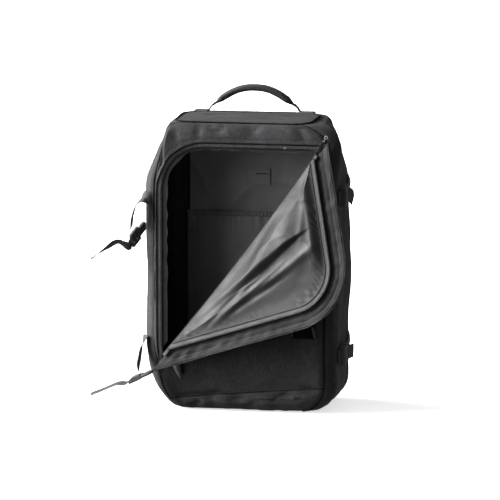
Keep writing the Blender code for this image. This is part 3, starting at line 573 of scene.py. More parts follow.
def side_grid(sign):
    """Points round one side, from the front seam to the back seam at each height."""
    grid = []
    for z in level_rows(0.0, HEIGHT):
        half_width, half_depth = half_sizes(z)
        first = math.asin((CORNER_RADIUS - SEAM_INSET) / CORNER_RADIUS)
        arc = []
        for i in range(13):
            turn = first + (math.pi / 2 - first) * i / 12
            arc.append((half_width - CORNER_RADIUS * (1 - math.sin(turn)),
                        half_depth - CORNER_RADIUS * (1 - math.cos(turn))))
        flat_y = half_depth - CORNER_RADIUS
        row = [(sign * x, -y, z) for x, y in arc]
        row += [(sign * half_width, flat_y * (2 * i / 24 - 1), z) for i in range(1, 24)]
        row += [(sign * x, y, z) for x, y in reversed(arc)]
        grid.append(row)
    return np.array(grid)


def fold_edge_x(z, clearance):
    """Where a line beside the fold, at a clearance from it, crosses a height."""
    return FOLD_TOP.x + (clearance - (z - FOLD_TOP.z) * FOLD_UP.z) / FOLD_UP.x


def fold_edge_z(x, clearance):
    """The height at which a line beside the fold, at a clearance from it, crosses x."""
    return FOLD_TOP.z + (clearance - (x - FOLD_TOP.x) * FOLD_UP.x) / FOLD_UP.z


def zip_curve(offset, clearance, arc=28, straight=40):
    """The zip's line moved outwards by offset, from its left end to its end at the top, as (x, z)."""
    left, top, radius = COIL_LEFT_X - offset, COIL_TOP_Z + offset, COIL_RADIUS + offset
    centre = (left + radius, top - radius)
    start_z, end_x = fold_edge_z(left, clearance), fold_edge_x(top, clearance)
    points = [(left, start_z + (centre[1] - start_z) * i / straight) for i in range(straight)]
    for i in range(arc + 1):
        turn = math.pi - math.pi / 2 * i / arc
        points.append((centre[0] + radius * math.cos(turn), centre[1] + radius * math.sin(turn)))
    points += [(centre[0] + (end_x - centre[0]) * (i + 1) / straight, top) for i in range(straight)]
    return np.array(points)


def fold_bow(along):
    """How far the fold's line sags, at a part of its length from its top."""
    return FOLD_BOW * np.sin(math.pi * np.clip(along, 0, 1)) ** 0.8


def fold_place(along, out, y):
    """World points from distances along the fold and out into the opening, and a depth."""
    along, out, y = np.broadcast_arrays(along, out, y)
    top, axis, up = (np.array(v) for v in (FOLD_TOP, FOLD_AXIS, FOLD_UP))
    points = top + along[..., None] * axis + out[..., None] * up
    points[..., 1] = y
    return points


OPEN_TURN = (Matrix.Translation(FOLD_TOP) @ Matrix.Rotation(-FOLD_OPEN, 4, FOLD_AXIS)
             @ Matrix.Translation(-FOLD_TOP))


def opened(points):
    """Where points of the closed door lie when it is open."""
    turn = np.array(OPEN_TURN)
    return points @ turn[:3, :3].T + turn[:3, 3]


# ---------------------------------------------------------------- shell and lining

def make_sides():
    """Both side panels with their linings, piped and stitched along the front and back seams."""
    for side, sign in (("left", -1), ("right", 1)):
        grid = side_grid(sign)
        out = normals_of(grid, (0, 0, HEIGHT / 2))
        edge = edge_distance(grid)
        rumple = 0.0030 * swells(grid, 0.10, 3.0 * sign, (1, 0.9, 0.6))
        rumple += 0.0010 * swells(grid, 0.035, 7.0 * sign, (1, 1, 0.5))
        rumple -= 0.0022 * creases(grid, 0.09, 11.0 * sign, (1, 1.2, 0.5), 5)
        foot = hump(grid[..., 2], 0, 0.05)
        rumple += foot * 0.0016 * swells(grid, 0.030, 5.0 * sign, (1, 1.6, 0.7))
        for strap_z in (UPPER_STRAP_Z, LOWER_STRAP_Z):
            near = hump(grid[..., 2], strap_z, 0.022, 4)
            rumple = rumple * (1 - near) - 0.0006 * near
        lift = np.minimum(rumple, 0.002) - 0.0016 * np.exp(-edge / 0.004)
        lift = lift[..., None] * out
        skin = grid + lift
        sheet_piece(f"{side}_side_cloth", skin, skin - SKIN * out, SHELL_LOOK, "bag", "shell_fabric",
                    [f"side_panel_{side}"])
        slack = 0.0011 * (1 + swells(grid, 0.05, 21.0 * sign)) + 0.0016 * creases(grid, 0.08, 23.0 * sign)
        inner = skin - (LINING_DEPTH + slack[..., None]) * out
        sheet_piece(f"{side}_lining_cloth", inner, inner - LINING * out, DARK_LINING_LOOK, "bag",
                    "lining", [f"lining_{side}"])
        for place, column in (("front", 0), ("back", -1)):
            seam = skin[:, column] + 0.0004 * out[:, column]
            tube(f"{side}_{place}_piping", seam, 0.0013, BINDING_AND_SHADE_LOOK, "bag", "shell_fabric")
            row = 2 if column == 0 else -3
            stitches(f"{side}_{place}_stitches", skin[:, row] + THREAD_LIFT * out[:, row], "bag")


def panel_outline(z):
    """The bag's outline at a height, seen from above."""
    half_width, half_depth = half_sizes(z)
    quarter = 40
    mid_x, mid_y = half_width - CORNER_RADIUS, half_depth - CORNER_RADIUS
    points = []
    for corner, (sx, sy) in enumerate(((1, 1), (-1, 1), (-1, -1), (1, -1))):
        for i in range(quarter):
            turn = math.pi / 2 * (corner + i / (quarter - 1))
            points.append((sx * mid_x + CORNER_RADIUS * math.cos(turn),
                           sy * mid_y + CORNER_RADIUS * math.sin(turn)))
    return np.array(points)


def make_level_panel(name, z, sign, crown, replaces, look=SHELL_LOOK, thick=SKIN, seed=0.0, seam_y=None):
    """A top or base panel, crowned and sewn in round its outline."""
    outline = panel_outline(z)
    parts = np.linspace(0.0, 1.0, 26) ** 0.8
    parts[0] = 0.01
    grid = np.zeros((len(parts), len(outline) + 1, 3))
    closed = np.concatenate([outline, outline[:1]])
    for i, part in enumerate(parts):
        grid[i, :, :2] = closed * part
        grid[i, :, 2] = z
    lift = crown * (1 - parts[:, None] ** 2) + np.zeros(grid.shape[:2])
    lift += 0.0010 * swells(grid, 0.05, seed) - 0.0014 * np.exp(-(1 - parts[:, None]) / 0.05)
    if seam_y is not None:
        lift -= 0.0024 * hump(grid[..., 1], seam_y, 0.003)
    grid[..., 2] += sign * lift
    inner = grid.copy()
    inner[..., 2] -= sign * thick
    count = grid.shape[1] - 1
    points = np.concatenate([grid[:, :-1].reshape(-1, 3), inner[:, :-1].reshape(-1, 3)])
    total = len(parts) * count
    faces = []
    for i in range(len(parts) - 1):
        for j in range(count):
            k = (j + 1) % count
            quad = (i * count + j, i * count + k, (i + 1) * count + k, (i + 1) * count + j)
            faces += [quad, tuple(total + v for v in reversed(quad))]
    last = (len(parts) - 1) * count
    for j in range(count):
        k = (j + 1) % count
        faces.append((last + j, last + k, total + last + k, total + last + j))
    faces.append(tuple(range(count)))
    faces.append(tuple(range(total + count - 1, total - 1, -1)))
    add_piece(name, points, faces, look, "bag", "shell_fabric", replaces)
    return grid


def make_top_and_base():
    """Top and base panels with their linings; a seam crosses the top behind the handle."""
    seam_y = 0.022
    grid = make_level_panel("top_cloth", HEIGHT, 1, 0.002, ["top_panel"], seed=2.0, seam_y=seam_y)
    tube("top_piping", grid[-1] + (0, 0, 0.0004), 0.0017, BINDING_AND_SHADE_LOOK, "bag", "shell_fabric")
    stitches("top_stitches", grid[-4] + (0, 0, THREAD_LIFT), "bag")
    half = half_sizes(HEIGHT)[0] - 0.004
    for i, shift in enumerate((-0.004, 0.004)):
        line = [(half * (2 * k / 40 - 1), seam_y + shift, HEIGHT + 0.0012) for k in range(41)]
        stitches(f"top_seam_stitches_{i}", line, "bag")
    make_level_panel("base_cloth", 0.0, -1, -0.0005, ["bottom_panel"], seed=4.0)
    for name, node, z, sign in (("top", "lining_top", HEIGHT - 0.0036, 1),
                                ("base", "lining_bottom", 0.0040, -1)):
        make_level_panel(f"{name}_lining_cloth", z, sign, -0.001, [node], DARK_LINING_LOOK, LINING, 6.0)


def base_band(grid, edge, lift):
    """Relief of the front where it is gathered at the base seam and folded in valleys under it."""
    x, below = grid[..., 0], grid[..., 2] - base_seam(grid[..., 0])
    inward = 0.0075 * (1 - ease(0.0, 0.060, below)) * ease(-0.016, 0.0, below)
    bulge = 0.0030 * hump(below, -0.014, 0.009)
    folds = 0.0070 * creases(grid, 0.040, 15.0, (0.55, 1, 1.7), 5) * hump(below, -0.010, 0.018)
    valley_line = below + 0.012 + 0.004 * np.sin(x / 0.021)
    valley_part = np.clip(np.sin(x / 0.0135 + 1.9) + 0.4 * swells(grid, 0.03, 19.0), 0, 1)
    folds += 0.0110 * valley_part * hump(valley_line, 0, 0.0046)
    free = 1 - hump(edge, 0, 0.020)
    pinch = np.clip(0.6 + 0.6 * swells(grid, 0.03, 17.0), 0, 1)
    lift = lift + (bulge - inward - folds) * free
    return lift - (0.0012 + 0.0035 * pinch * free) * hump(below, 0, 0.0028)


def face_piece(name, rows, limits, sign, seed, replaces):
    """Front or back fabric between two edges at each height."""
    columns = 60
    grid = []
    for z in rows:
        left, right = limits(z)
        xs = left + (right - left) * (0.5 - 0.5 * np.cos(math.pi * np.arange(columns + 1) / columns))
        grid.append([(x, sign * face_y(x, z), z) for x in xs])
    grid = np.array(grid)
    out = normals_of(grid, (0, 0, HEIGHT / 2))
    edge = edge_distance(grid)
    rumple = 0.0016 * swells(grid, 0.09, seed) + 0.0008 * swells(grid, 0.032, seed + 3, (0.6, 1, 1))
    rumple += 0.0010 * creases(grid, 0.06, seed + 5, (0.5, 1, 1.6)) - 0.0010
    rumple += 0.0018 * hump(grid[..., 2], 0, 0.030) * swells(grid, 0.026, seed + 8, (1.4, 1, 0.6))
    sewn_in = 0.0014 * np.exp(-edge / 0.004)
    if sign < 0:
        lift = base_band(grid, edge, np.minimum(rumple, 0.0004) - sewn_in)
    else:
        lift = np.clip(0.25 * rumple, -0.0006, 0.0002) - sewn_in
    skin = grid + lift[..., None] * out
    sheet_piece(name, skin, skin - SKIN * out, SHELL_LOOK, "bag", "shell_fabric", replaces)
    return skin


def base_seam(x):
    """Height of the sloping seam across the front's foot."""
    return 0.034 + 0.085 * x


def make_base_seam(skin):
    """Piping and two rows of stitches along the seam across the front's foot."""
    seam = []
    for j in range(1, skin.shape[1] - 1):
        column = skin[:, j]
        x = float(np.interp(base_seam(0.0), column[:, 2], column[:, 0]))
        z = base_seam(x)
        seam.append((x, float(np.interp(z, column[:, 2], column[:, 1])) - 0.0004, z))
    tube("base_seam_piping", seam, 0.0010, BINDING_AND_SHADE_LOOK, "bag", "shell_fabric")
    for i, shift in enumerate((-0.003, 0.003)):
        xs = np.linspace(-0.145, 0.150, 60)
        line = [(x, -face_y(x, base_seam(x) + shift) + 0.0006, base_seam(x) + shift) for x in xs]
        stitches(f"base_seam_stitches_{i}", line, "bag")


def make_front_and_back():
    """The fixed half of the front, which ends at the fold, and the whole back."""
    border_end = fold_edge_z(COIL_LEFT_X - TAPE_WIDTH - 0.0012, 0.0) - 0.0012
    turn = 0.008                                         # height in which the edge swings to the fold

    def front_limits(z):
        full = -seam_x(z)
        if z <= border_end:
            return full, seam_x(z)
        along = (FOLD_TOP.z - z) / (FOLD_TOP.z - FOLD_FOOT.z)
        sloped = fold_edge_x(z, -0.005 - float(fold_bow(along)))
        blend = min(1.0, (z - border_end) / turn)
        return full + (sloped - full) * blend, seam_x(z)

    rows = level_rows(0.0, COIL_TOP_Z + 0.004, middle=80)
    rows = sorted(rows + [border_end + step * turn / 4 for step in range(4)])
    rows = [rows[0]] + [b for a, b in zip(rows, rows[1:]) if b - a > 0.0004]
    make_base_seam(face_piece("front_cloth", rows, front_limits, -1, 12.0, ["front_panel"]))
    face_piece("back_cloth", level_rows(0.0, HEIGHT), lambda z: (-seam_x(z), seam_x(z)), 1, 31.0,
               ["back_panel"])


def make_border():
    """The front's fabric between the zip tape and the piped seam, folded under beside the tape."""
    stitch_line = 0.007                                  # from the hem
    edge = zip_curve(TAPE_WIDTH, 0.0)
    centre = np.array([COIL_LEFT_X + COIL_RADIUS, COIL_TOP_Z - COIL_RADIUS])
    grid = []
    for x, z in edge:
        way = np.array([min(x - centre[0], 0.0), max(z - centre[1], 0.0)])
        way /= np.linalg.norm(way)
        low, high = 0.0, 2 * HALF_WIDTH
        for _ in range(40):
            middle = (low + high) / 2
            px, pz = x + way[0] * middle, z + way[1] * middle
            inside = pz < HEIGHT - 0.0006 and abs(px) < seam_x(pz) - 0.0004
            low, high = (middle, high) if inside else (low, middle)
        row = []
        for part in np.linspace(0, 1, 17):
            px, pz = x + way[0] * low * part, z + way[1] * low * part
            row.append((px, -face_y(px, min(pz, HEIGHT)), pz))
        grid.append(row)
    grid = np.array(grid)
    out = normals_of(grid, (0, 0, HEIGHT / 2))
    across = travelled(grid, 1)
    width = across[:, -1:]
    swell = np.sin(math.pi * np.clip(across / np.maximum(width, 1e-6), 0, 1))
    lift = 0.0032 * (swells(grid, 0.055, 41.0) - 0.15) * swell
    lift -= 0.0036 * creases(grid, 0.060, 43.0, (1.2, 1, 0.8), 5) * swell
    lift -= 0.0012 * np.exp(-(width - across) / 0.004)
    lift -= 0.0010 * hump(across, stitch_line, 0.0012)
    skin = grid + np.minimum(lift, 0.0004)[..., None] * out
    sheet_piece("front_border_cloth", skin, skin - SKIN * out, SHELL_LOOK, "bag", "shell_fabric",
                ["front_border"])
    # painted shade: this hem tube's near black stands for the shade under the border's folded edge, beside
    # the tape
    tube("front_border_hem", moved_back(skin[:, 0], 0.0014), 0.0017, BINDING_AND_SHADE_LOOK, "bag", "shell_fabric")
    row = int(np.argmin(np.abs(across[len(across) // 2] - stitch_line)))
    stitches("front_border_stitches", skin[:, row] + THREAD_LIFT * out[:, row], "bag")


# ---------------------------------------------------------------- inside

def make_back_lining():
    """The lining behind the opening, hanging a little slack; its pale colour is painted light, standing for
    the light that falls into the bag.
    """
    grid = box_grid("lining_back", 61, 90)[2]
    sag = 0.0020 * (1 + swells(grid, 0.10, 51.0)) + 0.0022 * creases(grid, 0.09, 53.0, (1, 1, 0.7))
    sag += 0.0008 * (1 + swells(grid, 0.03, 57.0))
    front = grid - np.array([0, 1, 0]) * np.minimum(sag, 0.006)[..., None]
    sheet_piece("back_lining_cloth", front, moved_back(front, LINING), BACK_LINING_PAINTED_LIGHT_LOOK, "bag", "lining",
                ["lining_back"])


def make_label():
    """A small blank label on the back lining, with a slot in it drawn as a dark bead of painted shade."""
    wall_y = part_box("lining_back")[0].y
    left, right, foot, top, sewn = -0.017, 0.026, 0.382, 0.412, 0.0015
    xs, zs = np.linspace(left, right, 16), np.linspace(foot, top, 12)
    label = np.array([[(x, wall_y - 0.0062 - 0.0004 * math.sin(80 * x), z) for x in xs] for z in zs])
    sheet_piece("blank_label", label, moved_back(label, LINING), BACK_LINING_PAINTED_LIGHT_LOOK, "bag", "lining")
    corners = [(left + sewn, foot + sewn), (right - sewn, foot + sewn), (right - sewn, top - sewn),
               (left + sewn, top - sewn), (left + sewn, foot + sewn)]
    stitches("blank_label_stitches", [(x, wall_y - 0.0066, z) for x, z in corners], "bag", "lining",
             0.003, 0.002, 0.0003)
    # painted shade: a dark bead stands for the shade inside the label's slot
    slot = [(x, wall_y - 0.0064, 0.402) for x in np.linspace(0.0, 0.0225, 8)]
    tube("blank_label_slot", slot, 0.0010, COIL_LOOK, "bag", "lining")


def make_pocket():
    """The inner pocket, standing off the back lining, with a gathered elastic hem."""
    low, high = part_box("inner_pocket")
    hem_low, hem_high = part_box("pocket_elastic_hem")
    stand = 0.010
    us, vs = np.linspace(0, 1, 121), np.linspace(0, 1, 70)
    grid = np.zeros((len(vs), len(us), 3))
    for i, v in enumerate(vs):
        swell = (1 - np.abs(2 * us - 1) ** 4) * min(1.0, 4 * v)
        gather = 0.0010 * np.sin(us * 2 * math.pi * 21 + 3 * np.sin(us * 17)) * v ** 9
        gather = gather * (0.5 + 0.5 * np.sin(us * 23 + 1))
        slack = 0.004 * np.sin(us * 2 * math.pi * 1.7 + 1 + 1.5 * v) * math.sin(math.pi * v)
        grid[i, :, 0] = low.x + (high.x - low.x) * us
        grid[i, :, 1] = high.y - 0.0010 - (stand + gather + slack * 0.5) * swell
        grid[i, :, 2] = low.z + (high.z - low.z) * v
    sheet_piece("pocket_cloth", grid, moved_back(grid, LINING), BACK_LINING_PAINTED_LIGHT_LOOK, "bag", "lining",
                ["inner_pocket"])
    us = np.linspace(0, 1, 241)
    xs = low.x + (high.x - low.x) * us
    swell = 1 - np.abs(2 * us - 1) ** 4
    gather = 0.0012 * np.sin(us * 2 * math.pi * 42 + 2 * np.sin(us * 17))
    grids = ([], [])
    for part in np.linspace(0, 1, 9):
        half = 0.0007 + 0.0012 * math.sin(math.pi * part)
        z = hem_low.z + (hem_high.z - hem_low.z) * part
        for grid, sign in zip(grids, (-1, 1)):
            y = high.y - 0.0012 - stand * swell + sign * half - gather * 0.6
            grid.append(np.stack([xs, y, z + 0.0004 * np.sin(us * 90)], -1))
    sheet_piece("pocket_hem_cloth", np.array(grids[0]), np.array(grids[1]), BACK_LINING_PAINTED_LIGHT_LOOK, "bag",
                "lining", ["pocket_elastic_hem"])
    for i, part in enumerate((0.3, 0.7)):
        z = hem_low.z + (hem_high.z - hem_low.z) * part
        line = np.stack([xs, high.y - 0.0034 - stand * swell - gather * 0.6, np.full_like(us, z)], -1)
        stitches(f"pocket_hem_stitches_{i}", line, "bag", "lining", 0.003, 0.002)


def make_inside():
    make_back_lining()
    make_label()
    make_pocket()
    repaint("back_foam", FOAM_LOOK)
    repaint("frame_sheet", SHEET_LOOK)


def repaint(node, look):
    """A CAD node keeps its shape and gets a new material."""
    mesh = frame["nodes"][node].data
    mesh.materials.clear()
    mesh.materials.append(look)


# ---------------------------------------------------------------- zip

def strip(inner_offset, outer_offset, y, clearance, columns=8):
    """A grid of points along the zip between two offsets, at a depth in front."""
    curves = [zip_curve(inner_offset + (outer_offset - inner_offset) * i / columns, clearance)
              for i in range(columns + 1)]
    grid = np.zeros((len(curves[0]), columns + 1, 3))
    for j, curve in enumerate(curves):
        grid[:, j, 0], grid[:, j, 2] = curve[:, 0], curve[:, 1]
    grid[..., 1] = y
    return grid


def zip_teeth(name, offset, y, clearance, body, replaces, place=None):
    """A moulded coil: one small rounded tooth for each turn, moved by place if it is given."""
    inner, outer = (zip_curve(o, clearance, 60, 90) for o in (offset, offset + TOOTH_WIDTH))
    middle = (inner + outer) / 2
    path = np.stack([middle[:, 0], np.full(len(inner), y), middle[:, 1]], -1)
    points, ahead = resample(path, TOOTH_PITCH)
    across = np.cross(ahead, (0, 1, 0))
    up = np.array([0, -1, 0])
    corners, faces = [], []
    ring = [(0.5, 0.25), (0.5, -0.25), (0.25, -0.5), (-0.25, -0.5), (-0.5, -0.25), (-0.5, 0.25),
            (-0.25, 0.5), (0.25, 0.5)]
    for point, forward, side in zip(points, ahead, across):
        at = len(corners)
        for end in (-0.5, 0.5):
            for a, b in ring:
                corners.append(point + side * end * TOOTH_WIDTH + forward * a * TOOTH_PITCH * 0.62
                               + up * b * TOOTH_THICK)
        faces += [(at + j, at + (j + 1) % 8, at + 8 + (j + 1) % 8, at + 8 + j) for j in range(8)]
        faces += [tuple(at + j for j in range(8)), tuple(at + 15 - j for j in range(8))]
    corners = np.array(corners)
    add_piece(name, place(corners) if place else corners, faces, COIL_LOOK, body, "zip_plastic", replaces)


def make_zip_on_bag():
    tape_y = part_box("zip_tape_bag")[0].y
    grid = strip(0.0006, TAPE_WIDTH + 0.002, tape_y, 0.0)
    grid[..., 1] -= 0.0004 * (1 + swells(grid, 0.03, 61.0))
    sheet_piece("bag_zip_tape", grid, moved_back(grid, TAPE), TAPE_LOOK, "bag", "webbing",
                ["zip_tape_bag"])
    make_facing(tape_y)
    coil_low, coil_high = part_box("zip_coil_bag")
    zip_teeth("bag_zip_teeth", 0.0006, (coil_low.y + coil_high.y) / 2, 0.002, "bag", ["zip_coil_bag"])


def make_facing(tape_y):
    """The tape's inner edge, behind the teeth, gathered and pulled back from the opening."""
    facing = strip(-0.0085, 0.0004, tape_y + 0.0036, 0.006, 6)
    part = np.linspace(0, 1, len(facing))[:, None]
    across = np.linspace(1, 0, facing.shape[1])[None, :]
    run = travelled(facing[:, :1], 0)
    gathers = 0.0013 * np.sin(run / 0.0065 + 2.0 * np.sin(run / 0.031))
    pull_back = (0.0050 * ease(0.40, 0.62, part) + gathers) * across * ease(0.05, 0.20, part)
    away = facing[:, -1:] - facing[:, :1]
    away /= np.linalg.norm(away, axis=2, keepdims=True)
    facing = facing + away * pull_back[..., None]
    sheet_piece("opening_facing", facing, moved_back(facing, LINING), TAPE_LOOK, "bag", "webbing")


# ---------------------------------------------------------------- the folded door

def door_grid(offset, clearance, across=60, arc=28, straight=40):
    """The door's closed shape as rows across it, each from the fold to the zip's line."""
    edge = zip_curve(offset, clearance, arc, straight)
    relative = edge - np.array([FOLD_TOP.x, FOLD_TOP.z])
    axis, up = np.array([FOLD_AXIS.x, FOLD_AXIS.z]), np.array([FOLD_UP.x, FOLD_UP.z])
    along, out = relative @ axis, relative @ up
    start = clearance + fold_bow(along / FOLD_LENGTH)
    start = np.minimum(start, out - 0.0001)
    parts = np.linspace(0, 1, across + 1)
    out_grid = start[:, None] + (out - start)[:, None] * parts[None, :]
    return np.broadcast_to(along[:, None], out_grid.shape), out_grid


def bend_line(along, out, first, second, width):
    """A soft ridge along a straight line between two (along, out) points, fading past its ends."""
    first, second = np.array(first), np.array(second)
    way = second - first
    length = np.linalg.norm(way)
    way /= length
    run = (along - first[0]) * way[0] + (out - first[1]) * way[1]
    away = (along - first[0]) * -way[1] + (out - first[1]) * way[0]
    past = np.maximum(np.maximum(-run, run - length), 0)
    return hump(away, 0, width) * hump(past, 0, 0.03)


# the long crease: (along the fold, out from it) points, where the lining drops from high to low
LONG_CREASE = ((0.095, 0.098), (0.141, 0.088), (0.210, 0.0764), (0.276, 0.0567), (0.332, 0.0385),
               (0.400, 0.0200))
CREASE_DROP = 0.0090
CREASE_WIDTH = 0.016
# softer folds: start, end, height, width
LINING_FOLDS = (
    ((0.150, 0.116), (0.215, 0.098), 0.0030, 0.0075),
    ((0.230, 0.100), (0.300, 0.075), -0.0030, 0.0060),
    ((0.060, 0.045), (0.120, 0.130), 0.0020, 0.0080),
    ((0.120, 0.020), (0.260, 0.060), 0.0016, 0.0090),
    ((0.210, 0.088), (0.330, 0.062), 0.0024, 0.0050),
    ((0.030, 0.012), (0.110, 0.080), 0.0014, 0.0060),
    ((0.280, 0.058), (0.380, 0.045), -0.0018, 0.0045),
)


def crease_drop(along, out):
    """Height of the lining at its long crease: high beside the fold, low past the crease."""
    places, heights = zip(*LONG_CREASE)
    past = out - np.interp(along, places, heights)
    fade = ease(0.095, 0.150, along) * (1 - ease(0.330, 0.400, along))
    width = CREASE_WIDTH * (0.35 + 0.65 * ease(0.10, 0.22, along))
    drop = ease(-width, 0.0, past) - 0.25 * ease(0.004, 0.030, past)
    rise = 0.0115 * hump(np.minimum(past, 0), -0.012, 0.045)
    slide = -0.0085 * ease(-0.005, 0.070, past)
    return fade * (rise + slide - CREASE_DROP * drop)


def door_sheet(name, front, back, look, slot, node):
    """A layer of the door, given as it lies when closed."""
    sheet_piece(name, opened(front), opened(back), look, "door_flap", slot, [node])


def make_door_shell():
    along, out = door_grid(0.0, FOLD_CLEARANCE)
    closed = fold_place(along, out, CLOSED_DEPTHS["shell"])
    inside = 1 - np.exp(-np.maximum(edge_distance(closed) - 0.008, 0) / 0.010)
    rumple = 0.0014 * (1 + swells(closed, 0.10, 71.0)) + 0.0007 * (1 + swells(closed, 0.035, 73.0))
    rumple += 0.0012 * creases(closed, 0.07, 75.0)
    closed[..., 1] -= rumple * inside
    door_sheet("door_shell_cloth", closed, moved_back(closed, 0.0012), SHELL_LOOK, "shell_fabric",
               "door_shell")


def lining_relief(closed, along, out):
    """How far the door's lining stands up from its edges: the long crease, folds and edge gathers."""
    relief = crease_drop(along, out)
    for first, second, height, width in LINING_FOLDS:
        relief += height * bend_line(along, out, first, second, width)
    relief += 0.0016 * swells(closed, 0.055, 81.0) + 0.0007 * swells(closed, 0.02, 83.0)
    relief += 0.0012 * creases(closed, 0.06, 85.0, (1, 1, 0.6))
    edge = edge_distance(closed)
    upright = ease(0.35, 0.60, np.linspace(0, 1, len(out))[:, None])
    relief += 0.0040 * upright * ease(0.020, 0.110, out)
    relief = (relief + 0.0070) * ease(0.0, 1.0, (edge + 0.004) / (0.056 - 0.022 * upright))
    run = travelled(closed[:, -1:], 0)
    gathers = np.sin(run / 0.0021 + 3.0 * np.sin(run / 0.013)) * (0.6 + 0.4 * np.sin(run / 0.021))
    from_zip = out[:, -1:] - out
    relief += 0.0012 * gathers * hump(from_zip, 0.010, 0.007) * ease(0.0, 0.010, edge)
    return relief


def make_door_lining():
    along, out = door_grid(-TAPE_WIDTH + 0.0005, FOLD_CLEARANCE, 96, 52, 88)
    front = fold_place(along, out, CLOSED_DEPTHS["lining"])
    soft = 0.0015                                        # hollows level out over this height
    front[..., 1] += 0.0004 + soft * np.log1p(np.exp(lining_relief(front, along, out) / soft))
    door_sheet("door_lining_cloth", front, moved_back(front, -LINING), LINING_LOOK, "lining",
               "door_lining")


def make_door_zip():
    """The door's half of the zip: tape, bound edge and teeth."""
    grid = strip(-TAPE_WIDTH, 0.0002, CLOSED_DEPTHS["tape"], FOLD_CLEARANCE)
    grid[..., 1] += 0.0005 * swells(grid, 0.03, 87.0)
    door_sheet("door_zip_tape_cloth", grid, moved_back(grid, -TAPE), TAPE_LOOK, "webbing",
               "door_zip_tape")
    hem = strip(-TAPE_WIDTH, -TAPE_WIDTH + 0.001, CLOSED_DEPTHS["binding"], FOLD_CLEARANCE, 1)[:, 0]
    tube("door_tape_binding", opened(hem), 0.0009, SHELL_LOOK, "door_flap", "shell_fabric")
    zip_teeth("door_zip_teeth", -TOOTH_WIDTH - GAP, CLOSED_DEPTHS["teeth"], FOLD_CLEARANCE, "door_flap",
              ["door_zip_coil"], opened)


def make_door_rim():
    """The wide storm rim outside the zip: two rows of stitches, gathered near the fold."""
    columns = 26
    grid = strip(-0.004, RIM_WIDTH, CLOSED_DEPTHS["rim"], FOLD_CLEARANCE, columns)
    part = np.broadcast_to(np.linspace(0, 1, columns + 1), grid.shape[:2])
    run = travelled(grid[:, :1], 0)
    wave = 0.0016 * np.sin(run / 0.019 + 2.0 * np.sin(run / 0.05)) * part ** 2
    ridges = 0.0009 * np.abs(np.sin(math.pi * (part * 3.0 + 0.1)))
    pucker = 0.0007 * np.sin(run / 0.0035 + 1.5 * np.sin(run / 0.02)) * np.sin(math.pi * part) ** 2
    pucker += 0.0016 * swells(grid, 0.018, 91.0) + 0.0020 * creases(grid, 0.03, 93.0) - 0.0008
    gathered = np.sin(math.pi * part) * (1 - ease(0.17, 0.30, run))
    pucker += 0.0020 * gathered * np.sin(run / 0.0042 + 2.0 * np.sin(run / 0.03))
    thick = 0.0009 + ridges + 0.0009 * hump(part, 0.95, 0.05)
    thick = thick * np.clip((1 - part) / 0.03, 0.25, 1)
    front, back = grid.copy(), grid.copy()
    front[..., 1] += np.minimum(wave + thick + 0.6 * pucker - 0.0014, 0.0010)
    back[..., 1] = np.minimum(back[..., 1] + wave - thick - 0.0001, front[..., 1] - 0.0012)
    door_sheet("door_rim_cloth", front, back, RIM_LOOK, "shell_fabric", "door_rim")
    for i, column in enumerate((9, 18)):
        stitches(f"door_rim_stitches_{i}", opened(moved_back(front[:, column], GAP)), "door_flap")
    tube("door_rim_edge", opened((front[:, -1] + back[:, -1]) / 2), 0.0013, SHELL_LOOK, "door_flap",
         "shell_fabric")


def make_door():
    make_door_shell()
    make_door_lining()
    make_door_zip()
    make_door_rim()


# across the fold on its fixed side: (out from the fold, back from it), less this share of the sag
FOLD_SECTIONS = (
    ("lining", LINING_LOOK, "lining", 0.0103, ((-0.016, 0.0100, 1.0), (-0.006, 0.0096, 1.0),
     (-0.0026, 0.0050, 0.9), (-0.0016, -0.0030, 0.9), (-0.0030, -0.0095, 0.9))),
    ("shell", SHELL_LOOK, "shell_fabric", 0.0068, ((-0.010, 0.0070, 1.0), (-0.006, 0.0066, 1.0),
     (-0.0045, 0.0035, 0.9), (-0.0038, -0.0025, 0.9), (-0.0044, -0.0075, 0.9))),
)


def make_fold():
    """The door's fabric and lining roll over the fold, from the fixed half to the folded half."""
    parts = np.linspace(0.004, 0.992, 90)
    turn_cos, turn_sin = math.cos(FOLD_OPEN), math.sin(FOLD_OPEN)
    inside = (np.array(FOLD_TOP) + np.array(FOLD_FOOT)) / 2 - 0.05 * np.array(FOLD_UP)
    for name, look, slot, lift, fixed_side in FOLD_SECTIONS:
        rows = []
        for part in parts:
            bow = float(fold_bow(part))
            cross = [(out - share * bow, depth, 0) for out, depth, share in fixed_side]
            for further in (0.0, 0.004):
                out = FOLD_CLEARANCE + bow + further
                cross.append((out * turn_cos + lift * turn_sin, -out * turn_sin + lift * turn_cos, 0))
            rows.append([(p.x, p.y) for p in smooth_route(cross, 6)])
        rows = np.array(rows)
        outer = fold_place(parts[:, None] * FOLD_LENGTH, rows[..., 0], FOLD_AXIS_Y + rows[..., 1])
        out = normals_of(outer, inside)
        outer = outer + (0.0006 * swells(outer, 0.02, 95.0))[..., None] * out
        made = sheet_piece(f"door_fold_{name}", outer, outer - 0.0007 * out, look, None, slot)
        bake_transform(made)


# ---------------------------------------------------------------- sliders and small parts

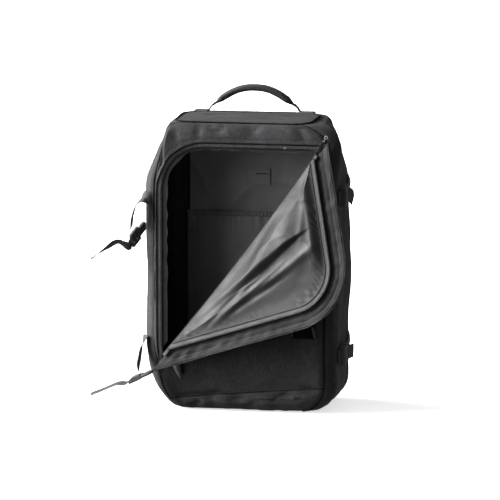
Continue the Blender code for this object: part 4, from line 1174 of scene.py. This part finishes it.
def block_mesh(outline, low, high, bevel, place):
    """A bevelled prism of an (x, z) outline between two depths, placed by a matrix."""
    bm = bmesh.new()
    rings = [[bm.verts.new((a, depth, b)) for a, b in outline] for depth in (low, high)]
    for ring in rings:
        bm.faces.new(ring)
    count = len(outline)
    for i in range(count):
        j = (i + 1) % count
        bm.faces.new((rings[0][i], rings[0][j], rings[1][j], rings[1][i]))
    bmesh.ops.recalc_face_normals(bm, faces=bm.faces)
    bmesh.ops.bevel(bm, geom=list(bm.edges), offset=bevel, segments=3, affect="EDGES", profile=0.6)
    bm.transform(place)
    bm.verts.ensure_lookup_table()
    points = [tuple(v.co) for v in bm.verts]
    faces = [tuple(v.index for v in f.verts) for f in bm.faces]
    bm.free()
    return points, faces


def joined(parts):
    """Several closed shapes as one list of points and faces."""
    points, faces = [], []
    for some_points, some_faces in parts:
        at = len(points)
        points += list(some_points)
        faces += [tuple(at + v for v in face) for face in some_faces]
    return points, faces


def mirrored(right):
    """A closed outline from the (x, z) points of its right half, first to last."""
    left = [(-x, z) for x, z in right]
    return left[:1] + right + left[:0:-1]


def make_slider(side, at, angle, pull_angle, lean):
    """A zip slider with a bridge, and its rubber pull with grip ribs."""
    front = -HALF_DEPTH - GAP
    place = Matrix.Translation((at[0], 0, at[1])) @ Matrix.Rotation(angle, 4, "Y")
    body = mirrored([(0.0048, 0.0068), (0.0046, 0.0), (0.0028, -0.0068)])
    bridge = mirrored([(0.0012, 0.0050), (0.0010, -0.0050)])
    parts = [block_mesh(body, front - 0.0026, front, 0.0006, place),
             block_mesh(bridge, front - 0.0040, front - 0.0022, 0.0005, place)]
    add_piece(f"{side}_slider_body", *joined(parts), METAL_LOOK, f"{side}_slider", "zip_plastic",
              [f"slider_{side}"])
    place = pull_place(side, pull_angle, lean)
    grip = mirrored([(0.0026, -0.0015), (0.0033, -0.006), (0.0035, -0.022), (0.0016, -0.0278)])
    parts = [block_mesh(grip, -0.0011, 0.0011, 0.0008, place)]
    for i in range(5):
        z = -0.010 - 0.0026 * i
        rib = mirrored([(0.0026, z), (0.0026, z - 0.0010)])
        parts.append(block_mesh(rib, -0.0015, 0.0015, 0.0003, place))
    add_piece(f"{side}_pull_grip", *joined(parts), PULL_LOOK, f"{side}_pull", "pull_rubber",
              [f"pull_{side}"])


def pull_place(side, angle, lean):
    """Frame of a pull: its hinge at the origin, hanging down its own z."""
    hinge = Vector(JOINTS[f"{side}_pull_swing"]["pos_m"])
    return Matrix.Translation(hinge) @ Matrix.Rotation(angle, 4, "Y") @ Matrix.Rotation(lean, 4, "X")


def make_bright_bits():
    """The ring and the tip of the top pull, and a small stop on the upper zip line, in a light grey that is
    painted highlight for the glints on them.
    """
    place = pull_place("top", TOP_PULL_TURN, TOP_PULL_LEAN)
    turns = [2 * math.pi * i / 24 for i in range(25)]
    ring = [place @ Vector((0.0022 * math.cos(t), -0.0018, -0.0290 + 0.0030 * math.sin(t))) for t in turns]
    tube("top_pull_loop", [tuple(p) for p in ring], 0.00065, METAL_GLINT_LOOK, "top_pull", "zip_plastic")
    tip = [(-0.0018, -0.0205), (0.0018, -0.0205), (0.0, -0.0250)]
    add_piece("top_pull_mark", *block_mesh(tip, -0.0020, -0.0014, 0.0002, place), METAL_GLINT_LOOK,
              "top_pull", "zip_plastic")
    stop = mirrored([(0.0022, -0.0012), (0.0022, 0.0012)])
    place = Matrix.Translation((0.083, 0, COIL_TOP_Z + 0.0035))
    add_piece("top_zip_stop", *block_mesh(stop, -HALF_DEPTH + 0.0014, -HALF_DEPTH + 0.0032, 0.0005, place),
              METAL_GLINT_LOOK, "bag", "zip_plastic")


def make_sliders():
    side_z, top_x = JOINTS["side_pull_swing"]["pos_m"][2], JOINTS["top_pull_swing"]["pos_m"][0]
    make_slider("side", (COIL_LEFT_X, side_z), 0.0, 0.0, 0.0)
    make_slider("top", (top_x, COIL_TOP_Z), math.radians(-90), TOP_PULL_TURN, TOP_PULL_LEAN)


def make_patch():
    """A small blank leaning patch on the front, with a raised bar at its right edge."""
    low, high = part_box("front_patch")
    mid_x, mid_z = (low.x + high.x) / 2, (low.z + high.z) / 2
    half_x, half_z = (high.x - low.x) / 2, (high.z - low.z) / 2
    xs, zs = np.linspace(-half_x, half_x, 30), np.linspace(-half_z, half_z, 18)
    grid = np.array([[(mid_x + x + 0.12 * z, high.y + 0.0006, mid_z + z) for x in xs] for z in zs])
    crown = 0.0008 + 0.0013 * (1 - np.exp(-edge_distance(grid) / 0.0025))
    crown += 0.0006 * swells(grid, 0.012, 97.0)
    sheet_piece("patch_cloth", grid - crown[..., None] * np.array([0, 1, 0]), grid, PATCH_LOOK, "bag",
                "webbing", ["front_patch"])
    for name, x, width, height, slant in (("bar", half_x - 0.0015, 0.0022, 0.8, -0.25),
                                          ("edge", -half_x + 0.0005, 0.0009, 0.7, 0.05)):
        rows = []
        for part in np.linspace(-1, 1, 9):
            up = part * half_z * height
            middle = mid_x + x + slant * up
            rows.append([(middle + w * width, low.y - 0.0007, mid_z + up) for w in (-1, 0, 1)])
        rows = np.array(rows)
        under = moved_back(rows, 0.0012)
        rows[:, 1, 1] -= 0.0005
        sheet_piece(f"patch_{name}", rows, under, TAPE_LOOK, "bag", "webbing")


def make_lash_tab():
    """A pinched loop of webbing hanging on the front, with a small knot beside it."""
    low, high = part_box("lash_tab")
    x, front = (low.x + high.x) / 2, -HALF_DEPTH - GAP
    grids = ([], [])
    for part in np.linspace(0, 1, 14):
        half = 0.0085 * (1 - 0.85 * part ** 1.6)
        z = high.z - 0.003 - 0.030 * part
        y = front - 0.0015 - 0.0085 * math.sin(math.pi * min(part * 0.75 + 0.08, 1))
        for grid, shift in zip(grids, (-0.0008, 0.0008)):
            grid.append([(x - 0.004 + 0.006 * part + w * half, y + shift + 0.0035 * w ** 2, z)
                         for w in np.linspace(-1, 1, 7)])
    sheet_piece("lash_tab_web", np.array(grids[0]), np.array(grids[1]), TAPE_LOOK, "bag", "webbing",
                ["lash_tab"])
    knot = [(x + 0.0065, front - 0.0035, z) for z in np.linspace(low.z + 0.004, high.z - 0.004, 8)]
    tube("lash_tab_knot", knot, 0.0036, PATCH_LOOK, "bag", "webbing", 10)


# ---------------------------------------------------------------- handle

HANDLE_SPAN = 0.080                                      # half the distance between its ends


def handle_arch(along):
    """Height of the handle's arch, from 0 at its ends to 1 in the middle."""
    return math.cos(math.pi / 2 * abs(along) ** 1.15)


def handle_rings(axis_y, axis_z, rise, count, around):
    """Rings of points along the padded grip, flat at its ends and full between them."""
    rings = []
    for i in range(count + 1):
        part = 0.015 + 0.97 * i / count
        along = 2 * part - 1
        top = handle_arch(along)
        slope = math.atan((handle_arch(min(along + 0.01, 1)) - top) * rise / (0.01 * HANDLE_SPAN))
        full = float(ease(0.05, 0.14, min(part, 1 - part)))
        half_width = 0.0045 + 0.0072 * full
        half_thick = 0.0018 + 0.0042 * full
        gather = 1 + 0.05 * full * math.sin(part * 160)
        ring = []
        for k in range(around):
            turn = 2 * math.pi * k / around
            c, s = math.cos(turn), math.sin(turn)
            out = half_width * math.copysign(abs(c) ** 0.7, c)
            up = half_thick * math.copysign(abs(s) ** 0.8, s) * (gather if s < 0 else 1)
            ring.append((along * HANDLE_SPAN - up * math.sin(slope), axis_y + out,
                         axis_z + rise * top + up * math.cos(slope)))
        rings.append(ring)
    return rings


def make_handle():
    """The padded carry handle, its necks and its sewn feet."""
    around = 20
    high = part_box("handle_sleeve")[1]
    axis_y, axis_z = JOINTS["handle_fold"]["pos_m"][1:3]
    rings = handle_rings(axis_y, axis_z, high.z - axis_z - 0.0064, 90, around)
    handle = add_piece("handle_grip", *closed_rings(rings), SHELL_LOOK, "top_handle", "webbing",
                       ["handle_sleeve"])
    puff(handle, 0.0012, 3.0, 0.0030, ((-1, axis_y - 0.0175, 0), (1, axis_y + 0.0175, high.z)))
    rings = np.array(rings)
    for i, k in enumerate((1, around // 2 - 1)):
        stitches(f"handle_stitches_{i}", rings[8:-8, k] + np.array([0, 0, THREAD_LIFT]), "top_handle",
                 "webbing", 0.0035, 0.0024)
    for side, sign in (("left", -1), ("right", 1)):
        make_handle_neck(side, sign, axis_y, axis_z)
        make_handle_foot(side)


def make_handle_neck(side, sign, y, z):
    """The webbing between the grip and its sewn foot."""
    neck = [(sign * out, y, z + up) for out, up in
            ((0.0715, 0.0105), (0.0775, 0.0045), (0.0815, -0.0015), (0.0850, -0.0030))]
    made = webbing(f"handle_neck_{side}", neck, [(0, 1, 0)], None, (), 0.013, 0.0024, 6)
    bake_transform(made)


def make_handle_foot(side):
    """Webbing sewn to the top with four short bars of stitches."""
    low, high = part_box(f"handle_foot_{side}")
    xs, ys = np.linspace(low.x, high.x, 20), np.linspace(low.y, high.y, 12)
    grid = np.array([[(x, y, low.z) for x in xs] for y in ys])
    crown = 0.0010 + 0.0016 * (1 - np.exp(-edge_distance(grid) / 0.002))
    top = grid + np.array([0, 0, 1]) * crown[..., None]
    sheet_piece(f"handle_foot_web_{side}", top, grid, WEB_LOOK, "bag", "webbing", [f"handle_foot_{side}"])
    for i, shift in enumerate((-0.009, -0.003, 0.003, 0.009)):
        x = (low.x + high.x) / 2 + shift
        line = [(x, low.y + 0.003 + 0.019 * k / 9, high.z - GAP) for k in range(10)]
        stitches(f"handle_bartack_{side}_{i}", line, "bag", "webbing", 0.0016, 0.0014, 0.0004)


# ---------------------------------------------------------------- buckles and straps

def buckle_frame(origin, along, across):
    """A frame at an origin with its y along a strap and its z across it."""
    y_axis = Vector(along).normalized()
    z_axis = Vector(across)
    z_axis = (z_axis - z_axis.dot(y_axis) * y_axis).normalized()
    x_axis = y_axis.cross(z_axis)
    return Matrix.Translation(origin) @ Matrix((x_axis, y_axis, z_axis)).transposed().to_4x4()


def housing_frame(side, z):
    """Frame of a buckle housing sewn to a side of the bag at a height."""
    face = HALF_WIDTH + 2 * GAP
    if side == "right":
        return buckle_frame((face, RIGHT_BUCKLE_Y, z), (0, 1, 0), (0, 0, 1))
    return buckle_frame((-face, LEFT_BUCKLE_Y, z), (0, -1, 0), (0, 0, 1))


def soften(node, look, width=0.0007):
    """A moulded CAD part keeps its shape, with its edges rounded."""
    thing = frame["nodes"][node]
    weld = thing.modifiers.new("weld", "WELD")
    weld.merge_threshold = 1e-5
    flat = thing.modifiers.new("flat", "DECIMATE")
    flat.decimate_type = "DISSOLVE"
    flat.angle_limit = math.radians(2)
    bevel = thing.modifiers.new("round", "BEVEL")
    bevel.width = width
    bevel.segments = 3
    bevel.limit_method = "ANGLE"
    bevel.angle_limit = math.radians(30)
    bevel.harden_normals = False
    repaint(node, look)


def buckle_ribs(name, place):
    """Three raised grip ribs on a buckle housing, in its own frame."""
    half, low, thick, tall = 0.0115, 0.0099, 0.0013, 0.0007
    swap = place @ Matrix(((0, 1, 0, 0), (1, 0, 0, 0), (0, 0, 1, 0), (0, 0, 0, 1)))
    ribs = [block_mesh([(y, -half), (y + thick, -half), (y + thick, half), (y, half)], low, low + tall,
                       0.0003, swap) for y in (-0.0045, -0.0072, -0.0230)]
    add_piece(name, *joined(ribs), BUCKLE_LOOK, "bag", "buckle_plastic")


STRAPS = (("upper", UPPER_STRAP_Z), ("lower", LOWER_STRAP_Z))


def make_buckles():
    """Four housings and tongues with rounded edges, and ribs on the housings."""
    for side in ("right", "left"):
        for level, z in STRAPS:
            soften(f"buckle_female_{side}_{level}", BUCKLE_LOOK)
            soften(f"buckle_male_{side}_{level}", BUCKLE_LOOK, 0.0005)
            buckle_ribs(f"buckle_ribs_{side}_{level}", housing_frame(side, z))


def make_right_straps():
    """Front and rear webbing of the closed buckles, and the tails past their tongues."""
    face = HALF_WIDTH + GAP + WEB_THICK / 2
    front = RIGHT_BUCKLE_Y - HOUSING_LENGTH - GAP
    above = 0.0072 + GAP + WEB_THICK                     # over the tongue's ladder
    up = [(0, 0, 1)]
    for (level, z), reach, droop in zip(STRAPS, (0.006, 0.016), (0.014, 0.002)):
        tag = f"right_{level}"
        webbing(f"front_web_{tag}", [(face, front - 0.018, z), (face, front, z)], up, "bag",
                [f"strap_front_{tag}"])
        loop = [(face, front - 0.004, z), (face + 0.0035, front + 0.002, z),
                (face + 0.0030, front + 0.0055, z)]
        webbing(f"front_loop_{tag}", loop, up, "bag", steps=6, width=LOOP_WIDTH)
        rear = [(face, 0.062, z + 0.020), (face, 0.048, z + 0.020 / 3), (face, 0.036, z)]
        webbing(f"rear_web_{tag}", rear, up, "bag", [f"strap_rear_{tag}"])
        place = housing_frame("right", z)
        tail = [(above, 0.008, 0),
                (above + 0.0012, 0.018, -0.2 * droop),
                (above + 0.0030, 0.022 + 0.6 * reach, -0.6 * droop),
                (above + 0.0036, 0.026 + reach, -droop)]
        webbing(f"tail_web_{tag}", [place @ Vector(p) for p in tail], [(0, 0, 1), (0, -20 * droop, 1)],
                f"{tag}_tongue", [f"strap_tail_{tag}"])


def make_left_straps():
    """Rear webbing of the empty housings, and the two undone straps hanging from the front."""
    face = -(HALF_WIDTH + GAP + WEB_THICK / 2)
    start = LEFT_BUCKLE_Y + HOUSING_LENGTH + 0.006
    for level, z in STRAPS:
        rear = [(face, start + 0.018, z + 0.020 / 3), (face, start, z)]
        webbing(f"rear_web_left_{level}", rear, [(0, 0, 1)], "bag", [f"strap_rear_left_{level}"])
    place = buckle_frame((-0.182, -0.0593, UPPER_STRAP_Z - 0.071), (-0.42, -0.68, -0.60), (-0.1, -0.7, 0.7))
    drop = [(-0.1608, -0.0953, 0), (-0.1725, -0.0963, -0.004), (-0.184, -0.0950, -0.016),
            (-0.191, -0.0935, -0.036), (-0.194, -0.0890, -0.056)]
    tail = [(-0.2191, -0.090, -0.083), (-0.2370, -0.090, -0.094), (-0.2516, -0.090, -0.104),
            (-0.2670, -0.090, -0.1155)]
    hang_strap("left_upper", place, UPPER_STRAP_Z, drop, tail, (0, 0, 1), (0.25, 0.9, 0.3))
    place = buckle_frame((-0.1684, -0.1135, LOWER_STRAP_Z - 0.039), (-0.90, 0.05, -0.43), (0.0, -1.0, -0.1))
    drop = [(-0.1700, -0.0815, 0.034), (-0.1765, -0.0860, 0.012), (-0.1785, -0.0985, -0.008),
            (-0.1790, -0.1120, -0.022)]
    tail = [(-0.2155, -0.112, -0.050), (-0.2426, -0.112, -0.062), (-0.2634, -0.112, -0.0705)]
    hang_strap("left_lower", place, LOWER_STRAP_Z, drop, tail, (-0.5, 0.86, 0), (0.1, 0.95, 0.15))


def hang_strap(tag, place, z, drop, tail, drop_across, tail_across):
    """An undone strap: webbing down to its tongue at place, round the tongue's ladder, and its tail."""
    seam = Vector((0, 0, z))
    body = f"{tag}_strap"
    turned = (0.04, 1, 0.25)
    webbing(f"drop_web_{tag}", [Vector(p) + seam for p in drop],
            [drop_across, turned, turned, (0, 1, 0.3)], body, [f"strap_front_{tag}"])
    bend = [place @ Vector((0.005, 0.024 + run, 0)) for run in (0.004, 0.010)]
    width_way = place.to_3x3() @ Vector((0, 0, 1))
    if width_way.dot(Vector(tail_across)) < 0:
        width_way = -width_way
    webbing(f"tail_web_{tag}", bend + [Vector(p) + seam for p in tail], [width_way, tail_across], body,
            [f"strap_tail_{tag}"])
    wrap = [place @ Vector((x, y, 0)) for x, y in
            ((0.0085, 0.003), (0.0092, 0.012), (0.0085, 0.021), (0.006, 0.0255))]
    webbing(f"ladder_web_{tag}", wrap, [width_way], body, width=LOOP_WIDTH, steps=6)


# ---------------------------------------------------------------- padding

def puff(thing, cap, pressure=4.0, voxel=0.005, limit=None):
    """Swell a padded piece with a cloth simulation, moving no point farther than a cap in metres."""
    frames = 20
    scene = bpy.context.scene
    remesh = thing.modifiers.new("remesh", "REMESH")
    remesh.mode = "VOXEL"
    remesh.voxel_size = voxel
    graph = bpy.context.evaluated_depsgraph_get()
    base = bpy.data.meshes.new_from_object(thing.evaluated_get(graph))
    thing.modifiers.clear()
    copy = bpy.data.objects.new("puffing", base)
    scene.collection.objects.link(copy)
    start = np.array([v.co[:] for v in base.vertices])
    cloth = copy.modifiers.new("cloth", "CLOTH")
    cloth.settings.quality = 5
    cloth.settings.use_pressure = True
    cloth.settings.uniform_pressure_force = pressure
    cloth.settings.effector_weights.gravity = 0
    cloth.point_cache.frame_start = 1
    cloth.point_cache.frame_end = frames
    for step in range(1, frames + 1):
        scene.frame_set(step)
    graph = bpy.context.evaluated_depsgraph_get()
    swollen = bpy.data.meshes.new_from_object(copy.evaluated_get(graph))
    scene.frame_set(1)
    points = np.array([v.co[:] for v in swollen.vertices])
    move = points - start
    reach = np.linalg.norm(move, axis=1, keepdims=True)
    move *= np.minimum(1, cap / np.maximum(reach, 1e-9))
    points = start + move
    if limit is not None:
        points = np.clip(points, limit[0], limit[1])
    swollen.vertices.foreach_set("co", points.astype(np.float32).ravel())
    bpy.data.objects.remove(copy)
    swollen.materials.clear()
    swollen.materials.append(thing.data.materials[0])
    thing.data = swollen
    swollen.shade_smooth()
    smooth = thing.modifiers.new("smooth", "SUBSURF")
    smooth.levels = smooth.render_levels = 1


# ---------------------------------------------------------------- back

def padded_strip(name, route, across, width, thick, body, replaces, seed):
    """A padded strap: crowned front and back, pinched at its bound edges."""
    edge = 0.0012
    way = Vector(across)

    def lift_at(part, from_end):
        crown = (1 - abs(part) ** 4) * (0.45 + 0.55 * min(1.0, from_end / 0.04))
        channel = 1 - 0.30 * math.exp(-((abs(part) - 0.80) / 0.05) ** 2)
        return edge + (thick / 2 - edge) * crown * channel

    outer, inner = strap_grids(smooth_route(route, 14), lambda part: way, width, 24, lift_at)
    dimples = 0.0006 * swells(outer, 0.03, seed)
    outer = outer + dimples[..., None] * np.array([0, 1, 0])
    made = sheet_piece(name, outer, inner, MESH_LOOK, body, "back_mesh", replaces)
    puff(made, 0.0020, 4.0, 0.0050)
    return outer, inner


def make_back_pad():
    """The padded air mesh on the back, quilted along a few channels."""
    low, high, grid = box_grid("back_pad", 60, 80)
    quilting = [hump(grid[..., 2], z, 0.004) for z in (0.19, 0.26, 0.33)]
    channel = np.maximum.reduce(quilting + [hump(grid[..., 0], 0, 0.004)])
    crown = 1 - np.exp(-edge_distance(grid) / 0.006)
    lift = 0.0012 + (0.0076 * crown) * (1 - 0.75 * channel)
    out = grid + np.array([0, 1, 0]) * lift[..., None]
    pad = sheet_piece("back_pad_mesh", out, grid, MESH_LOOK, "bag", "back_mesh", ["back_pad"])
    puff(pad, 0.0020, 4.0, 0.0045, ((-1, low.y, 0), (1, high.y + 0.004, 1)))


def make_yoke():
    """The band of shell fabric that the shoulder straps are sewn under."""
    seam = 0.004
    low, high, grid = box_grid("shoulder_yoke", 50, 16)
    lift = 0.0012 + 0.0028 * (1 - np.exp(-edge_distance(grid) / 0.003))
    out = grid + np.array([0, 1, 0]) * lift[..., None]
    sheet_piece("yoke_cloth", out, grid, SHELL_LOOK, "bag", "shell_fabric", ["shoulder_yoke"])
    for i, z in enumerate((low.z + seam, high.z - seam)):
        line = [(x, high.y, z) for x in np.linspace(low.x + seam, high.x - seam, 30)]
        stitches(f"yoke_stitches_{i}", line, "bag")


def make_shoulder_strap(side, sign):
    """A padded shoulder strap with bound edges, its adjuster and the webbing through it."""
    back = HALF_DEPTH + GAP
    top = 0.455
    body = f"harness_{side}"
    route = [(sign * x, back + y, top - down) for x, y, down in
             ((0.062, 0.013, 0.004), (0.066, 0.034, 0.055), (0.076, 0.040, 0.125), (0.087, 0.034, 0.195),
              (0.094, 0.024, 0.245))]
    outer, inner = padded_strip(f"{side}_shoulder_pad", route, (1, 0, 0), 0.062, 0.012, body,
                                [f"shoulder_strap_{side}"], 101 + sign)
    for i, column in enumerate((0, -1)):
        edge_line = (outer[:, column] + inner[:, column]) / 2
        tube(f"{side}_shoulder_binding_{i}", edge_line, 0.0018, SHELL_LOOK, body, "shell_fabric")
    foot = Vector(route[-1])
    soften(f"strap_adjuster_{side}", BUCKLE_LOOK)
    lower = [(foot.x, foot.y - 0.004, foot.z - 0.040), (sign * 0.107, back + 0.012, foot.z - 0.100),
             (sign * 0.117, back + 0.004, 0.060)]
    webbing(f"{side}_lower_web", lower, [(1, 0, 0)], "bag", [f"lower_webbing_{side}"])
    strap = [(foot.x, foot.y + y, foot.z + z) for y, z in
             ((0.006, 0.050), (0.0075, 0.015), (0.004, -0.008))]
    webbing(f"{side}_adjuster_web", strap, [(1, 0, 0)], body)


def make_harness():
    make_back_pad()
    make_yoke()
    make_shoulder_strap("left", -1)
    make_shoulder_strap("right", 1)


# ---------------------------------------------------------------- stage, light and camera

def make_floor():
    """A pale, faintly glowing floor that lights nothing itself."""
    graph = Graph("paper_floor")
    colour = graph.tint((0.90, 0.90, 0.90), graph.spread(graph.noise(3, 2), 0.995, 1.005))
    paper = finish(graph, colour, 0.9, graph.bump(graph.noise(200, 2), 0.00002, 0.1), 0.0, 0.0)
    graph.shader.inputs["Emission Color"].default_value = (1, 1, 1, 1)
    graph.shader.inputs["Emission Strength"].default_value = 0.66
    left, right, front, back, z = -40, 40, -8, 60, -0.001
    mesh = bpy.data.meshes.new("floor")
    mesh.from_pydata([(left, front, z), (right, front, z), (right, back, z), (left, back, z)], [],
                     [(0, 1, 2, 3)])
    mesh.materials.append(paper)
    floor = bpy.data.objects.new("floor", mesh)
    bpy.context.scene.collection.objects.link(floor)
    floor.visible_diffuse = False
    floor.visible_glossy = False


def make_world():
    """A white surround, a little brighter below the horizon than above it."""
    world = bpy.data.worlds.new("studio")
    bpy.context.scene.world = world
    world.use_nodes = True
    tree = world.node_tree
    height = tree.nodes.new("ShaderNodeSeparateXYZ")
    tree.links.new(tree.nodes.new("ShaderNodeTexCoord").outputs["Generated"], height.inputs[0])
    sky = tree.nodes.new("ShaderNodeMapRange")
    tree.links.new(height.outputs["Z"], sky.inputs["Value"])
    for key, value in (("From Min", -0.25), ("From Max", 0.30), ("To Min", 0.27), ("To Max", 0.16)):
        sky.inputs[key].default_value = value
    tree.links.new(sky.outputs[0], tree.nodes["Background"].inputs["Strength"])
    tree.nodes["Background"].inputs["Color"].default_value = (1, 1, 1, 1)


def add_light(name, towards, softness, strength):
    """A sun shining in a direction, as wide in the sky as its softness in degrees."""
    light = bpy.data.lights.new(name, "SUN")
    light.angle = math.radians(softness)
    light.energy = strength
    lamp = bpy.data.objects.new(name, light)
    lamp.rotation_mode = "QUATERNION"
    lamp.rotation_quaternion = Vector(towards).to_track_quat("-Z", "Y")
    bpy.context.scene.collection.objects.link(lamp)


def make_lights():
    add_light("key_from_left", (0.92, 0.06, -0.39), 54, 17.0)
    add_light("overhead", (0.05, 0.05, -1.0), 90, 0.4)
    add_light("front_fill", (0.55, 0.80, -0.16), 32, 1.1)


def make_camera():
    azimuth, elevation, distance = math.radians(10), math.radians(9), 11.0
    target = Vector((0.0036, 0.0, 0.2762))
    view_width = 0.89                                    # at the target
    level = math.cos(elevation)
    back = Vector((math.sin(azimuth) * level, -math.cos(azimuth) * level, math.sin(elevation)))
    camera = bpy.data.cameras.new("camera")
    camera.sensor_width = 36.0
    camera.lens = camera.sensor_width * distance / view_width
    camera.clip_end = 100
    thing = bpy.data.objects.new("camera", camera)
    thing.location = target + back * distance
    thing.rotation_mode = "QUATERNION"
    thing.rotation_quaternion = (-back).to_track_quat("-Z", "Y")
    bpy.context.scene.collection.objects.link(thing)
    bpy.context.scene.camera = thing
    bpy.context.scene.view_settings.view_transform = "Standard"


make_camera()
make_floor()
make_world()
make_lights()
make_sides()
make_top_and_base()
make_front_and_back()
make_border()
make_inside()
make_zip_on_bag()
make_door()
make_fold()
make_sliders()
make_bright_bits()
make_patch()
make_lash_tab()
make_handle()
make_buckles()
make_right_straps()
make_left_straps()
make_harness()
